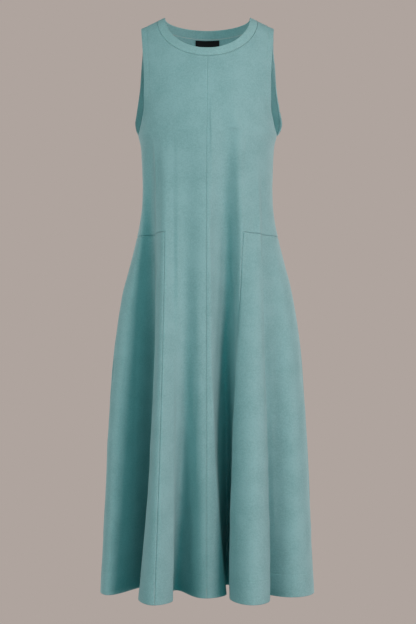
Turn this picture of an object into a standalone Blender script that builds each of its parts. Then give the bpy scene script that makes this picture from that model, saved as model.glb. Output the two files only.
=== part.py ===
"""Trapeze dress: sleeveless, midi length, heavy crepe knit, hollow as worn.

Metres, +Z up. The wearer faces -Y, and +X is on the right of a front view.
The origin lies midway between the neck ends of the two shoulder seams.

The dress is one skin of welded points. Above the waist the skin is an oval body that
rounds over the shoulders. Below it, fold lines carry the oval out to the waved hem.
Every face of the skin is marked with the panel it is cut from, and each panel then
becomes a closed wall, a little short of its neighbours at the seams.
"""

from collections import namedtuple

import bpy
import numpy as np

# ------------------------------------------------------------------ driving sizes

DRESS_LENGTH = 1.200        # neck end of the shoulder seam down to the hem
WALL = 0.0016               # cloth of the panels, and the neckband's folded double
SEAM_GAP = 0.0003           # between pieces that are sewn together
TURN_UP = 0.047             # depth of the hem that is folded up inside
HEM_WALL = 0.0028           # panel and turn-up together
FOLD_STEP = 0.006           # height over which the wall thickens into the turn-up

NECK_HALF_WIDTH = 0.0885    # at the shoulder seams, finished edge
FRONT_NECK_DROP = 0.0765
BACK_NECK_DROP = 0.0145
BAND_WIDTH = 0.0172

SHOULDER_HALF_WIDTH = 0.1385
SHOULDER_SLOPE = 0.475      # fall of the shoulder seam for each unit outwards
NECK_RISE_POWER = 1.6       # how the shoulder line levels out towards the neck's middle
UNDERARM_Z = -0.2445
WAIST_Z = -0.354
HIP_SIDE_Z = -0.4573        # the hip seam at the side seam
HIP_CORNER_Z = -0.4505      # the hip seam at its inner corner

OVAL_POWER = 2.3            # 2 is an ellipse, more is squarer
FRONT_ROUND = 0.327         # height over which the front rounds up to the shoulder
BACK_ROUND = 0.185

BINDING_WIDTH = 0.014
BINDING_WALL = 0.0010
LABEL_WIDTH = 0.052
LABEL_WALL = 0.0006
LABEL_TOP = 0.25            # label edges, in rows of the back panel's grid from its top
LABEL_BOTTOM = 1.9

FRONT, BACK = -1, 1

CLOTH_TEAL = (0.212, 0.376, 0.381, 1.0)
BAND_TEAL = (0.236, 0.404, 0.407, 1.0)
LABEL_BLACK = (0.012, 0.012, 0.015, 1.0)
CLOTH_ROUGHNESS = 0.85
LABEL_ROUGHNESS = 0.55

# ------------------------------------------------------------------ tables

# Body sections: half width of the skin at the front and at the back, and how far
# the fullest front and back lie from the side seams.
Section = namedtuple("Section", "name z half_front half_back depth_front depth_back")
SECTIONS = (
    Section("shoulder", 0.0000, 0.1580, 0.1560, 0.1150, 0.1000),
    Section("upper armhole", -0.0970, 0.1600, 0.1573, 0.1150, 0.1000),
    Section("mid armhole", -0.1310, 0.1595, 0.1623, 0.1150, 0.1000),
    Section("bust", -0.1660, 0.1558, 0.1654, 0.1150, 0.1000),
    Section("below bust", -0.1940, 0.1473, 0.1645, 0.1150, 0.1000),
    Section("low armhole", -0.2150, 0.1430, 0.1620, 0.1150, 0.0995),
    Section("near underarm", -0.2320, 0.1425, 0.1535, 0.1150, 0.0990),
    Section("close to underarm", -0.2410, 0.1433, 0.1480, 0.1150, 0.0987),
    Section("underarm", UNDERARM_Z, 0.1437, 0.1445, 0.1150, 0.0985),
    Section("side dart height", -0.2720, 0.1380, 0.1380, 0.1140, 0.0960),
    Section("waist", WAIST_Z, 0.1344, 0.1344, 0.1090, 0.0890),
)

# Edge of the armhole, as its distance from the middle of the dress.
ArmholeEdge = namedtuple("ArmholeEdge", "name z front back")
ARMHOLE = (
    ArmholeEdge("shoulder", -0.02375, 0.1385, 0.1385),
    ArmholeEdge("cap", -0.0600, 0.1352, 0.1372),
    ArmholeEdge("upper", -0.0970, 0.1322, 0.1400),
    ArmholeEdge("middle", -0.1400, 0.1303, 0.1434),
    ArmholeEdge("lower middle", -0.1700, 0.1300, 0.1474),
    ArmholeEdge("low", -0.1960, 0.1308, 0.1508),
    ArmholeEdge("curve", -0.2150, 0.1345, 0.1530),
    ArmholeEdge("under curve", -0.2320, 0.1386, 0.1500),
    ArmholeEdge("near bottom", -0.2410, 0.1420, 0.1460),
    ArmholeEdge("bottom", UNDERARM_Z, 0.1437, 0.1437),
)

# Half width of the outline from the waist down to the hem.
Outline = namedtuple("Outline", "name z half_width")
OUTLINE = (
    Outline("above waist", -0.3200, 0.1352),
    Outline("waist", WAIST_Z, 0.1344),
    Outline("below waist", -0.3875, 0.1354),
    Outline("high hip", -0.4250, 0.1400),
    Outline("hip seam", -0.4570, 0.1468),
    Outline("thigh", -0.5125, 0.1604),
    Outline("flare", -0.5875, 0.1790),
    Outline("lower flare", -0.6625, 0.1905),
    Outline("knee", -0.7625, 0.2000),
    Outline("calf", -0.8875, 0.2080),
    Outline("low skirt", -1.0250, 0.2145),
    Outline("above hem", -1.1200, 0.2190),
    Outline("hem", -DRESS_LENGTH, 0.2235),
)

# Fold lines of the skirt, one row each, round the hem from the left side seam across
# the front to the right side seam and back behind. top_x is where the line leaves the
# waist oval, and hem_x, hem_y is where it ends. It starts to move sideways at x_start and
# forwards or back at y_start. A power over 1 makes it leave slowly, one under 1 makes it
# leave at once and settle. flare is the share of its sideways travel that follows the
# outline of the dress.
Fold = namedtuple("Fold", "name top_x hem_x hem_y x_start x_power y_start y_power flare")
FRONT_FOLDS = (
    Fold("left side seam", -0.1344, -0.2238, 0.012, -0.35, 1.0, -0.354, 1.2, 1.00),
    Fold("left side front", -0.1339, -0.2110, -0.014, -0.38, 1.0, -0.354, 0.8, 0.95),
    Fold("left side slope", -0.1290, -0.1590, 0.042, -0.26, 0.9, -0.300, 1.25, 0.70),
    Fold("first valley", -0.1140, -0.1235, 0.086, -0.50, 1.7, -0.260, 0.75, 0.10),
    Fold("first valley flank", -0.1065, -0.1315, 0.006, -0.60, 2.3, -0.350, 0.7, 0.00),
    Fold("left lobe outer edge", -0.1005, -0.1400, -0.069, -0.38, 2.1, -0.490, 2.0, 0.00),
    Fold("left panel seam", -0.0865, -0.1065, -0.120, -0.405, 1.5, -0.210, 0.85, 0.00),
    Fold("left lobe inner edge", -0.0690, -0.0715, -0.085, -0.42, 1.4, -0.370, 0.85, 0.00),
    Fold("second valley flank", -0.0600, -0.0840, -0.008, -0.55, 2.2, -0.335, 1.95, 0.00),
    Fold("second valley", -0.0410, -0.0665, 0.036, -0.60, 1.5, -0.200, 2.1, 0.00),
    Fold("centre slope", -0.0210, -0.0434, -0.001, -0.45, 2.2, -0.333, 1.85, 0.00),
    Fold("centre front seam", -0.0020, -0.0020, -0.050, -0.45, 1.0, -0.460, 0.9, 0.00),
    Fold("centre lobe edge", 0.0060, 0.0360, -0.021, -0.60, 1.8, -0.405, 1.4, 0.00),
    Fold("third valley left flank", 0.0165, 0.0325, 0.061, -0.345, 1.2, -0.215, 1.55, 0.00),
    Fold("third valley", 0.0370, 0.0430, 0.098, -0.36, 1.1, -0.165, 1.45, 0.00),
    Fold("third valley right flank", 0.0580, 0.0525, 0.058, -0.42, 0.55, -0.270, 1.7, 0.00),
    Fold("right panel seam", 0.0737, 0.0520, -0.005, -0.44, 0.5, -0.480, 1.2, 0.00),
    Fold("right lobe inner edge", 0.0790, 0.0446, -0.0545, -0.43, 0.5, -0.450, 1.2, 0.00),
    Fold("right lobe crest", 0.0955, 0.0900, -0.118, -0.41, 1.0, -0.430, 0.95, 0.00),
    Fold("right lobe outer edge", 0.1035, 0.1280, -0.066, -0.32, 0.8, -0.450, 1.45, 0.00),
    Fold("fourth valley", 0.1100, 0.1170, -0.002, -0.45, 2.0, -0.265, 1.5, 0.10),
    Fold("right side slope", 0.1170, 0.1420, -0.025, -0.33, 1.5, -0.345, 0.7, 0.50),
    Fold("right side front", 0.1300, 0.1870, -0.036, -0.28, 0.7, -0.300, 0.8, 0.85),
    Fold("right side seam", 0.1344, 0.2230, 0.012, -0.35, 1.0, -0.354, 1.2, 1.00),
)
BACK_FOLDS = (
    Fold("right side back", 0.1339, 0.2120, 0.058, -0.35, 1.0, -0.354, 1.2, 0.95),
    Fold("back valley one", 0.1275, 0.1850, 0.080, -0.38, 1.1, -0.380, 1.2, 0.80),
    Fold("back lobe one outer edge", 0.1180, 0.1775, 0.118, -0.40, 1.1, -0.400, 1.2, 0.60),
    Fold("back lobe one crest", 0.1040, 0.1460, 0.149, -0.40, 1.1, -0.400, 1.1, 0.30),
    Fold("right back seam", 0.0890, 0.1150, 0.109, -0.41, 1.2, -0.410, 1.1, 0.10),
    Fold("back valley two", 0.0720, 0.0960, 0.042, -0.43, 1.2, -0.330, 1.5, 0.00),
    Fold("back lobe two edge", 0.0560, 0.0815, 0.121, -0.42, 1.2, -0.420, 1.2, 0.00),
    Fold("back lobe two crest", 0.0400, 0.0460, 0.168, -0.40, 1.2, -0.400, 1.1, 0.00),
    Fold("back lobe two far edge", 0.0220, 0.0100, 0.117, -0.42, 1.2, -0.420, 1.2, 0.00),
    Fold("back valley three", 0.0000, -0.0120, 0.038, -0.41, 1.2, -0.280, 1.7, 0.00),
    Fold("back lobe three edge", -0.0180, -0.0280, 0.111, -0.43, 1.2, -0.430, 1.2, 0.00),
    Fold("back lobe three crest", -0.0380, -0.0600, 0.160, -0.40, 1.2, -0.400, 1.1, 0.00),
    Fold("back lobe three far edge", -0.0560, -0.0880, 0.108, -0.42, 1.2, -0.420, 1.2, 0.00),
    Fold("back valley four", -0.0720, -0.1000, 0.056, -0.44, 1.2, -0.360, 1.4, 0.00),
    Fold("left back seam", -0.0890, -0.1165, 0.106, -0.41, 1.2, -0.410, 1.1, 0.10),
    Fold("back lobe four crest", -0.1040, -0.1470, 0.144, -0.40, 1.1, -0.400, 1.1, 0.30),
    Fold("back lobe four outer edge", -0.1180, -0.1780, 0.109, -0.40, 1.1, -0.400, 1.2, 0.60),
    Fold("back valley five", -0.1275, -0.1870, 0.077, -0.38, 1.1, -0.380, 1.2, 0.80),
    Fold("left side back", -0.1339, -0.2130, 0.056, -0.35, 1.0, -0.354, 1.2, 0.95),
)
FOLDS = FRONT_FOLDS + BACK_FOLDS

# Panels round the skirt: the fold line each begins at, and how many cells wide it is.
Panel = namedtuple("Panel", "name begins_at cells")
SKIRT_PANELS = (
    Panel("side_front_left", "left side seam", 22),
    Panel("front_left", "left panel seam", 18),
    Panel("front_right", "centre front seam", 18),
    Panel("side_front_right", "right panel seam", 22),
    Panel("side_back_right", "right side seam", 14),
    Panel("back", "right back seam", 36),
    Panel("side_back_left", "left back seam", 14),
)

TORSO_ROWS = (UNDERARM_Z, UNDERARM_Z - BINDING_WIDTH, -0.290, -0.325, -0.360, -0.395, -0.428)
HIP_ROW = -0.454
TURN_UP_TOP = -DRESS_LENGTH + TURN_UP
SKIRT_ROWS = (-0.487, -0.530, -0.585, -0.650, -0.725, -0.805, -0.885, -0.965, -1.055,
              TURN_UP_TOP + FOLD_STEP, TURN_UP_TOP, -DRESS_LENGTH)
UPPER_ROWS = 12             # rows of cells between underarm and shoulder
SHOULDER_CELLS = 3          # across the shoulder seam, the first as wide as the binding
NECK_FAN = 0.30             # how far the columns turn outwards just below the neckband seam

# ------------------------------------------------------------------ curves


def monotone_curve(at, xs, ys):
    """Smooth curve through the points xs, ys that never overshoots them."""
    xs, ys = np.asarray(xs, float), np.asarray(ys, float)
    if xs[0] > xs[-1]:
        xs, ys = xs[::-1], ys[::-1]
    step = np.diff(xs)
    slope = np.diff(ys) / step
    turns = slope[:-1] * slope[1:] <= 0
    before, after = 2 * step[1:] + step[:-1], step[1:] + 2 * step[:-1]
    with np.errstate(divide="ignore", invalid="ignore"):
        mean = (before + after) / (before / slope[:-1] + after / slope[1:])
    slopes = np.concatenate(([slope[0]], np.where(turns, 0.0, mean), [slope[-1]]))
    at = np.clip(at, xs[0], xs[-1])
    k = np.clip(np.searchsorted(xs, at) - 1, 0, len(step) - 1)
    t = (at - xs[k]) / step[k]
    return ((1 + 2 * t) * (1 - t) ** 2 * ys[k] + t * (1 - t) ** 2 * step[k] * slopes[k]
            + t * t * (3 - 2 * t) * ys[k + 1] + t * t * (t - 1) * step[k] * slopes[k + 1])


def distance_along(points):
    steps = np.linalg.norm(np.diff(points, axis=0), axis=1)
    return np.concatenate(([0.0], np.cumsum(steps)))


def closed_spline_weights(knots, length, at):
    """Weights that turn values at the knots into a smooth closed curve's values."""
    count = len(knots)
    step = np.diff(np.append(knots, knots[0] + length))
    bends = np.zeros((count, count))
    jumps = np.zeros((count, count))
    for k in range(count):
        left, right = step[k - 1], step[k]
        bends[k, k - 1] += left
        bends[k, k] += 2 * (left + right)
        bends[k, (k + 1) % count] += right
        jumps[k, k - 1] += 6 / left
        jumps[k, k] -= 6 / left + 6 / right
        jumps[k, (k + 1) % count] += 6 / right
    curvature = np.linalg.solve(bends, jumps)
    at = (np.asarray(at, float) - knots[0]) % length + knots[0]
    k = np.searchsorted(knots, at, side="right") - 1
    ahead = (k + 1) % count
    b = (at - knots[k]) / step[k]
    a = 1 - b
    unit = np.eye(count)
    bow = ((a ** 3 - a)[:, None] * curvature[k] + (b ** 3 - b)[:, None] * curvature[ahead])
    return a[:, None] * unit[k] + b[:, None] * unit[ahead] + bow * (step[k] ** 2 / 6)[:, None]


def growth(height, start, power):
    """Share of a fold line's travel that is done at a height, 0 at its start, 1 at the hem."""
    done = np.clip((start - height) / (start + DRESS_LENGTH), 0.0, 1.0)
    if power < 1:
        return 1 - (1 - done) ** (1 / power)
    return done ** power


# ------------------------------------------------------------------ body above the waist


def section_value(column, z):
    return monotone_curve(z, [s.z for s in SECTIONS], [getattr(s, column) for s in SECTIONS])


def shoulder_line(x):
    """Height of the top of the shoulders, from the neck's middle outwards."""
    x = np.abs(x)
    rise = SHOULDER_SLOPE * NECK_HALF_WIDTH / NECK_RISE_POWER
    inside = rise * (1 - (np.minimum(x, NECK_HALF_WIDTH) / NECK_HALF_WIDTH) ** NECK_RISE_POWER)
    return inside - SHOULDER_SLOPE * np.maximum(x - NECK_HALF_WIDTH, 0.0)


def side_columns(side):
    if side == FRONT:
        return "half_front", "depth_front", FRONT_ROUND
    return "half_back", "depth_back", BACK_ROUND


def body_depth(side, x, z):
    """How far the skin lies in front of or behind the side seams at x, z."""
    half_column, depth_column, rounding = side_columns(side)
    below = np.clip((shoulder_line(x) - z) / rounding, 0.0, 1.0)
    across = np.clip(np.abs(x) / section_value(half_column, z), 0.0, 1.0)
    fullness = (1 - across ** OVAL_POWER) ** (1 / OVAL_POWER)
    return side * section_value(depth_column, z) * np.sqrt(1 - (1 - below) ** 2) * fullness


def body_point(side, x, z):
    return np.stack([x, body_depth(side, x, z), z * np.ones_like(x)], axis=-1)


def body_ring(angle, z):
    """Points of the body oval at one height. The angle runs from the left side seam, front first."""
    side = np.where(np.sin(angle) >= 0, FRONT, BACK)
    half = np.where(side == FRONT, section_value("half_front", z), section_value("half_back", z))
    x = -half * np.sign(np.cos(angle)) * np.abs(np.cos(angle)) ** (2 / OVAL_POWER)
    y = np.where(side == FRONT, body_depth(FRONT, x, z), body_depth(BACK, x, z))
    return np.stack([x, y], axis=-1)


# ------------------------------------------------------------------ folds below the waist


def fold_angle(fold, side):
    """Angle at which a fold line leaves the waist oval."""
    half = section_value("half_front", WAIST_Z)
    share = np.clip(-fold.top_x / half, -1.0, 1.0)
    angle = np.arccos(np.sign(share) * np.abs(share) ** (OVAL_POWER / 2))
    return angle if side == FRONT else 2 * np.pi - angle


def hem_distances():
    """Distance of every fold line round the hem, and the whole way round."""
    hem = np.array([(f.hem_x, f.hem_y) for f in FOLDS])
    gaps = np.linalg.norm(np.roll(hem, -1, axis=0) - hem, axis=1)
    return np.concatenate(([0.0], np.cumsum(gaps[:-1]))), gaps.sum()


KNOTS, HEM_ROUND = hem_distances()
ANGLES = np.array([fold_angle(f, FRONT) for f in FRONT_FOLDS]
                  + [fold_angle(f, BACK) for f in BACK_FOLDS])
WAIST_POINTS = body_ring(ANGLES, WAIST_Z)


def fold_travel(z):
    """How far every fold line has moved away from its place at the waist, at a height."""
    half_width = monotone_curve(z, [o.z for o in OUTLINE], [o.half_width for o in OUTLINE])
    flared = (half_width - OUTLINE[1].half_width) / (OUTLINE[-1].half_width - OUTLINE[1].half_width)
    flared = flared if z < WAIST_Z else 0.0
    travel = np.zeros((len(FOLDS), 2))
    for k, fold in enumerate(FOLDS):
        own = growth(z, fold.x_start, fold.x_power)
        sideways = fold.flare * flared + (1 - fold.flare) * own
        forwards = growth(z, fold.y_start, fold.y_power)
        travel[k] = (np.array((fold.hem_x, fold.hem_y)) - WAIST_POINTS[k]) * (sideways, forwards)
    return travel


def ring(distance, z):
    """Points of the skin at one height, for distances measured round the hem."""
    weights = closed_spline_weights(KNOTS, HEM_ROUND, distance)
    turn = 2 * np.pi / HEM_ROUND
    angle = turn * np.asarray(distance) + weights @ (ANGLES - turn * KNOTS)
    return body_ring(angle, max(z, WAIST_Z)) + weights @ fold_travel(z)


def with_folds(row, distances):
    """A row above the underarm, with the folds that have already started there."""
    weights = closed_spline_weights(KNOTS, HEM_ROUND, distances)
    forwards = [(weights[k] @ fold_travel(row[k, 2]))[1] for k in range(len(row))]
    return row + np.column_stack([np.zeros(len(row)), forwards, np.zeros(len(row))])


def column_distances():
    """Where the columns of cells stand round the hem: closer together where it bends."""
    samples = 4000
    even = np.linspace(0.0, HEM_ROUND, samples, endpoint=False)
    hem = ring(even, -DRESS_LENGTH)
    way = np.roll(hem, -1, axis=0) - hem
    heading = np.unwrap(np.arctan2(way[:, 1], way[:, 0]))
    bend = np.abs(np.gradient(heading)) * 0.055 + np.linalg.norm(way, axis=1)
    effort = np.concatenate(([0.0], np.cumsum(bend)))
    even = np.append(even, HEM_ROUND)
    begins = [KNOTS[[f.name for f in FOLDS].index(p.begins_at)] for p in SKIRT_PANELS]
    ends = begins[1:] + [HEM_ROUND]
    columns = []
    for panel, begin, end in zip(SKIRT_PANELS, begins, ends):
        shares = np.linspace(*np.interp((begin, end), even, effort), panel.cells + 1)
        columns.extend(np.interp(shares[:-1], effort, even))
    return np.array(columns)


def underarm_distances(columns, cuts):
    """The same columns, spread evenly round the underarm row between the given cuts."""
    fine = np.linspace(0.0, HEM_ROUND, 2001)
    run = distance_along(ring(fine, UNDERARM_Z))
    spread = []
    for first, last in zip(cuts, cuts[1:]):
        ends = np.interp((columns[first], np.append(columns, HEM_ROUND)[last]), fine, run)
        spread.extend(np.linspace(*ends, last - first + 1)[:-1])
    return np.interp(spread, run, fine)


# ------------------------------------------------------------------ neck and armholes


def neck_curve(side, count, half_width, drop):
    """x and z of count + 1 points along a neck curve, from the left shoulder to the right."""
    fine = np.pi * np.linspace(0.0, 1.0, 801)
    eased = (fine - np.sin(2 * fine) / 2)
    x = -half_width * np.cos(eased)
    top = shoulder_line(half_width)
    z = top - (drop + top) * np.sin(eased)
    run = distance_along(body_point(side, x, z))
    wanted = np.interp(np.linspace(0.0, run[-1], count + 1), run, eased)
    return -half_width * np.cos(wanted), top - (drop + top) * np.sin(wanted), wanted


def seam_drop(side):
    return (FRONT_NECK_DROP if side == FRONT else BACK_NECK_DROP) + BAND_WIDTH


SEAM_HALF_WIDTH = NECK_HALF_WIDTH + BAND_WIDTH * 0.93


def top_edge(side, cells):
    """x and z of the panel's upper edge: shoulder seam, neckband seam, shoulder seam."""
    neck_x, neck_z, _ = neck_curve(side, cells - 2 * SHOULDER_CELLS, SEAM_HALF_WIDTH, seam_drop(side))
    rest = np.linspace(SHOULDER_HALF_WIDTH - BINDING_WIDTH, SEAM_HALF_WIDTH, SHOULDER_CELLS)
    shoulder_x = np.concatenate(([SHOULDER_HALF_WIDTH], rest[:-1]))
    shoulder_z = shoulder_line(shoulder_x)
    x = np.concatenate((-shoulder_x, neck_x, shoulder_x[::-1]))
    z = np.concatenate((shoulder_z, neck_z, shoulder_z[::-1]))
    return x, z


def oval_angle(side, x, z):
    """Angle round the body oval from the left side, for a place on the skin."""
    share = np.clip(-x / section_value(side_columns(side)[0], z), -1.0, 1.0)
    return np.arccos(np.sign(share) * np.abs(share) ** (OVAL_POWER / 2))


def armhole_angle(side, z):
    edge = "front" if side == FRONT else "back"
    x = monotone_curve(z, [a.z for a in ARMHOLE], [getattr(a, edge) for a in ARMHOLE])
    return oval_angle(side, -x, z)


def upper_grid(side, bottom, distances):
    """Rows of points from the underarm row up to the shoulder and neckband seams.

    The columns run from left to right, and the first and last follow the armholes."""
    cells = len(bottom) - 1
    top_x, top_z = top_edge(side, cells)
    top = body_point(side, top_x, top_z)
    low_angle, top_angle = oval_angle(side, bottom[:, 0], UNDERARM_Z), oval_angle(side, top_x, top_z)
    low_run, top_run = distance_along(bottom), distance_along(top)
    beside_neck = np.minimum(np.abs(top_x) / SEAM_HALF_WIDTH, 1.0) ** 6
    beside_neck *= np.abs(top_x) <= SEAM_HALF_WIDTH + SEAM_GAP
    column, fine = np.arange(cells + 1), np.linspace(0, cells, 16 * cells + 1)
    rows = [bottom]
    for row in range(1, UPPER_ROWS):
        up = (1 - np.cos(np.pi * row / UPPER_ROWS)) / 2
        z = np.interp(fine, column, UNDERARM_Z + (top_z - UNDERARM_Z) * up)
        angle = low_angle + (top_angle - low_angle) * up
        angle += np.sign(top_x) * NECK_FAN * np.sqrt(1 - up) * up * beside_neck
        angle = np.interp(fine, column, angle)
        left, right = armhole_angle(side, z[0]), np.pi - armhole_angle(side, z[-1])
        angle = left + (angle - angle[0]) * (right - left) / (angle[-1] - angle[0])
        half = section_value(side_columns(side)[0], z)
        x = -half * np.sign(np.cos(angle)) * np.abs(np.cos(angle)) ** (2 / OVAL_POWER)
        line = body_point(side, x, z)
        run = distance_along(line)
        share = low_run / low_run[-1] * (1 - up) + top_run / top_run[-1] * up
        inner = (share[1:-1] - share[1]) / (share[-2] - share[1])
        inner = BINDING_WIDTH + inner * (run[-1] - 2 * BINDING_WIDTH)
        evenly = np.concatenate(([0.0], inner, [run[-1]]))
        wanted = evenly + (np.interp(column, fine, run) - evenly) * up ** 3
        placed = np.column_stack([np.interp(wanted, run, line[:, k]) for k in range(3)])
        rows.append(with_folds(placed, distances))
    return rows + [top]


# ------------------------------------------------------------------ the skin


class Skin:
    """Welded points of the whole dress, with the faces of each panel."""

    def __init__(self, points=()):
        self.points = list(points)
        self.faces = {}

    def add_points(self, points):
        first = len(self.points)
        self.points.extend(points)
        return list(range(first, first + len(points)))

    def add_face(self, panel, *corners):
        self.faces.setdefault(panel, []).append(corners)

    def add_cell(self, panel, upper, lower, i):
        """Two triangles, split along the shorter diagonal, the same in every layer."""
        a, b, c, d = upper[i], lower[i], lower[i + 1], upper[i + 1]
        falling = np.linalg.norm(np.subtract(self.points[a], self.points[c]))
        rising = np.linalg.norm(np.subtract(self.points[b], self.points[d]))
        if falling < rising:
            self.add_face(panel, a, b, c)
            self.add_face(panel, a, c, d)
        else:
            self.add_face(panel, a, b, d)
            self.add_face(panel, b, c, d)

    def normals(self):
        """Outward direction at every point, from all the faces that meet there."""
        points = np.array(self.points)
        total = np.zeros_like(points)
        for faces in self.faces.values():
            for face in faces:
                a, b, c = points[list(face)]
                area = np.cross(b - a, c - a)
                for corner in face:
                    total[corner] += area
        return total / np.linalg.norm(total, axis=1)[:, None]


def hip_tilt(distance, z):
    """The hip seam rises from the side seam to its corner, and the rows near it follow."""
    seams = {f.name: k for f, k in zip(FOLDS, KNOTS)}
    sides = (0.0, seams["right side seam"], HEM_ROUND)
    corners = (seams["left panel seam"], seams["right panel seam"],
               seams["right back seam"], seams["left back seam"])
    heights = {s: HIP_SIDE_Z for s in sides}
    heights.update({c: HIP_CORNER_Z for c in corners})
    order = sorted(heights)
    lift = np.interp(distance, order, [heights[o] for o in order]) - HIP_ROW
    reach = 0.09
    return lift * np.clip(1 - abs(z - HIP_ROW) / reach, 0.0, 1.0)


def tilted_ring(distances, z):
    """A row of the skin at a height that follows the hip seam where it is near."""
    heights = z + hip_tilt(distances, z)
    flat = [ring(distances[k:k + 1], heights[k])[0] for k in range(len(distances))]
    return np.column_stack([np.array(flat), heights])


def closed(row):
    return row + row[:1]


def build_skin():
    skin = Skin()
    columns = column_distances()
    panel_of = [p.name for p in SKIRT_PANELS for _ in range(p.cells)]
    upper_panel_of = [name.replace("side_", "") for name in panel_of]
    upper_panel_of = ["back" if "back" in name else name for name in upper_panel_of]
    coarse = columns[::2]
    front_cells = sum(p.cells for p in SKIRT_PANELS[:4]) // 2
    spread = underarm_distances(coarse, (0, front_cells // 2, front_cells, len(coarse)))
    torso = []
    for z in TORSO_ROWS + (HIP_ROW,):
        up = (z - HIP_ROW) / (UNDERARM_Z - HIP_ROW)
        torso.append(closed(skin.add_points(tilted_ring(coarse + (spread - coarse) * up, z))))
    skirt = [closed(skin.add_points(tilted_ring(columns, z))) for z in SKIRT_ROWS]
    for upper, lower in zip(torso, torso[1:]):
        for i in range(len(coarse)):
            skin.add_cell(upper_panel_of[2 * i], upper, lower, i)
    hip, first = torso[-1], skirt[0]
    for i in range(len(coarse)):
        panel = panel_of[2 * i]
        skin.add_face(panel, hip[i], first[2 * i], first[2 * i + 1])
        skin.add_face(panel, hip[i], first[2 * i + 1], hip[i + 1])
        skin.add_face(panel, hip[i + 1], first[2 * i + 1], first[2 * i + 2])
    for upper, lower in zip(skirt, skirt[1:]):
        for i in range(len(columns)):
            skin.add_cell(panel_of[i], upper, lower, i)

    spread = np.append(spread, HEM_ROUND)
    front_rows = add_upper(skin, FRONT, torso[0][:front_cells + 1], spread[:front_cells + 1],
                           upper_panel_of[::2])
    back_rows = add_upper(skin, BACK, torso[0][front_cells:], spread[front_cells:],
                          ["back"] * len(coarse), shoulders=front_rows[-1])
    add_neckband(skin, front_rows[-1], back_rows[-1])
    return skin, torso, front_rows, back_rows


def add_upper(skin, side, underarm, distances, panels, shoulders=None):
    """Weld one side's upper grid on to the underarm row. Columns follow the ring's order."""
    bottom = np.array([skin.points[k] for k in underarm])
    if side == FRONT:
        grid = upper_grid(side, bottom, distances)
    else:
        grid = [row[::-1] for row in upper_grid(side, bottom[::-1], distances[::-1])]
    rows = [underarm] + [skin.add_points(row) for row in grid[1:-1]]
    if shoulders is None:
        rows.append(skin.add_points(grid[-1]))
    else:
        neck = skin.add_points(grid[-1][SHOULDER_CELLS + 1:-SHOULDER_CELLS - 1])
        right = shoulders[:-SHOULDER_CELLS - 2:-1]
        left = shoulders[SHOULDER_CELLS::-1]
        rows.append(right + neck + left)
    for lower, upper in zip(rows, rows[1:]):
        for i in range(len(underarm) - 1):
            skin.add_cell(panels[i], upper, lower, i)
    return rows


def add_neckband(skin, front_top, back_top):
    """Band between the seam and the free neck edge, in two rows of cells."""
    front = front_top[SHOULDER_CELLS:len(front_top) - SHOULDER_CELLS]
    back = back_top[SHOULDER_CELLS:len(back_top) - SHOULDER_CELLS]
    seam = front[:-1] + back
    rows = [seam]
    for share in (0.5, 1.0):
        points = []
        for side, ids in ((FRONT, front), (BACK, back)):
            _, _, eased = neck_curve(side, len(ids) - 1, SEAM_HALF_WIDTH, seam_drop(side))
            half = SEAM_HALF_WIDTH + (NECK_HALF_WIDTH - SEAM_HALF_WIDTH) * share
            drop = seam_drop(side) - BAND_WIDTH * share
            top = shoulder_line(half)
            x = -half * np.cos(eased)
            line = body_point(side, x, top - (drop + top) * np.sin(eased))
            points.extend(line[:-1] if side == FRONT else line[::-1][:-1])
        rows.append(closed(skin.add_points(points)))
    for lower, upper in zip(rows, rows[1:]):
        for i in range(len(seam) - 1):
            skin.add_cell("neckband", upper, lower, i)


# ------------------------------------------------------------------ from skin to solids


def face_edges(face):
    return [(face[k], face[(k + 1) % len(face)]) for k in range(len(face))]


def border_edges(faces):
    """Edges with a face of the panel on one side only, in that face's direction."""
    edges = [edge for face in faces for edge in face_edges(face)]
    known = set(edges)
    return [edge for edge in edges if (edge[1], edge[0]) not in known]


def pulled_back(skin, normals, faces):
    """The panel's points, drawn in by half the seam gap where another panel begins."""
    others = {edge for name in skin.faces for face in skin.faces[name]
              for edge in face_edges(face)}
    points = {k: np.array(skin.points[k]) for face in faces for k in face}
    inward = {}
    for a, b in border_edges(faces):
        if (b, a) not in others:
            continue
        along = points[b] - points[a]
        across = np.cross(normals[a] + normals[b], along)
        across /= np.linalg.norm(across)
        inward.setdefault(a, []).append(across)
        inward.setdefault(b, []).append(across)
    for k, directions in inward.items():
        total = sum(directions)
        corner = total @ total / len(directions)
        points[k] = points[k] + total / corner * (SEAM_GAP / 2)
    return points


def cloth_wall(name, points, normals, faces, near, far):
    """Closed wall between two distances under the skin, both given for each point.

    Walls that meet at a seam split their rims along the same diagonals."""
    order = sorted(points)
    place = {k: i for i, k in enumerate(order)}
    count = len(order)
    outer = [points[k] - normals[k] * near(points[k]) for k in order]
    inner = [points[k] - normals[k] * far(points[k]) for k in order]
    shell = [[place[k] for k in face] for face in faces]
    lining = [[place[k] + count for k in reversed(face)] for face in faces]
    rim = []
    for a, b in border_edges(faces):
        start, end = place[a], place[b]
        if start < end:
            rim += [(end, start, start + count), (end, start + count, end + count)]
        else:
            rim += [(end, start, end + count), (start, start + count, end + count)]
    mesh = bpy.data.meshes.new(name)
    mesh.from_pydata([tuple(p) for p in outer + inner], [], shell + lining + rim)
    mesh.validate()
    mesh.update()
    return mesh


def add_object(name, mesh, material):
    mesh.materials.append(material)
    mesh.shade_smooth()
    mesh.set_sharp_from_angle(angle=np.radians(50))
    piece = bpy.data.objects.new(name, mesh)
    bpy.context.scene.collection.objects.link(piece)


def panel_depth(point):
    return WALL if point[2] > TURN_UP_TOP + FOLD_STEP / 2 else HEM_WALL


def add_panels(skin, normals, cloth, band):
    for name, faces in skin.faces.items():
        points = pulled_back(skin, normals, faces)
        mesh = cloth_wall(name, points, normals, faces, lambda p: 0.0, panel_depth)
        add_object(name, mesh, band if name == "neckband" else cloth)


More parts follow.
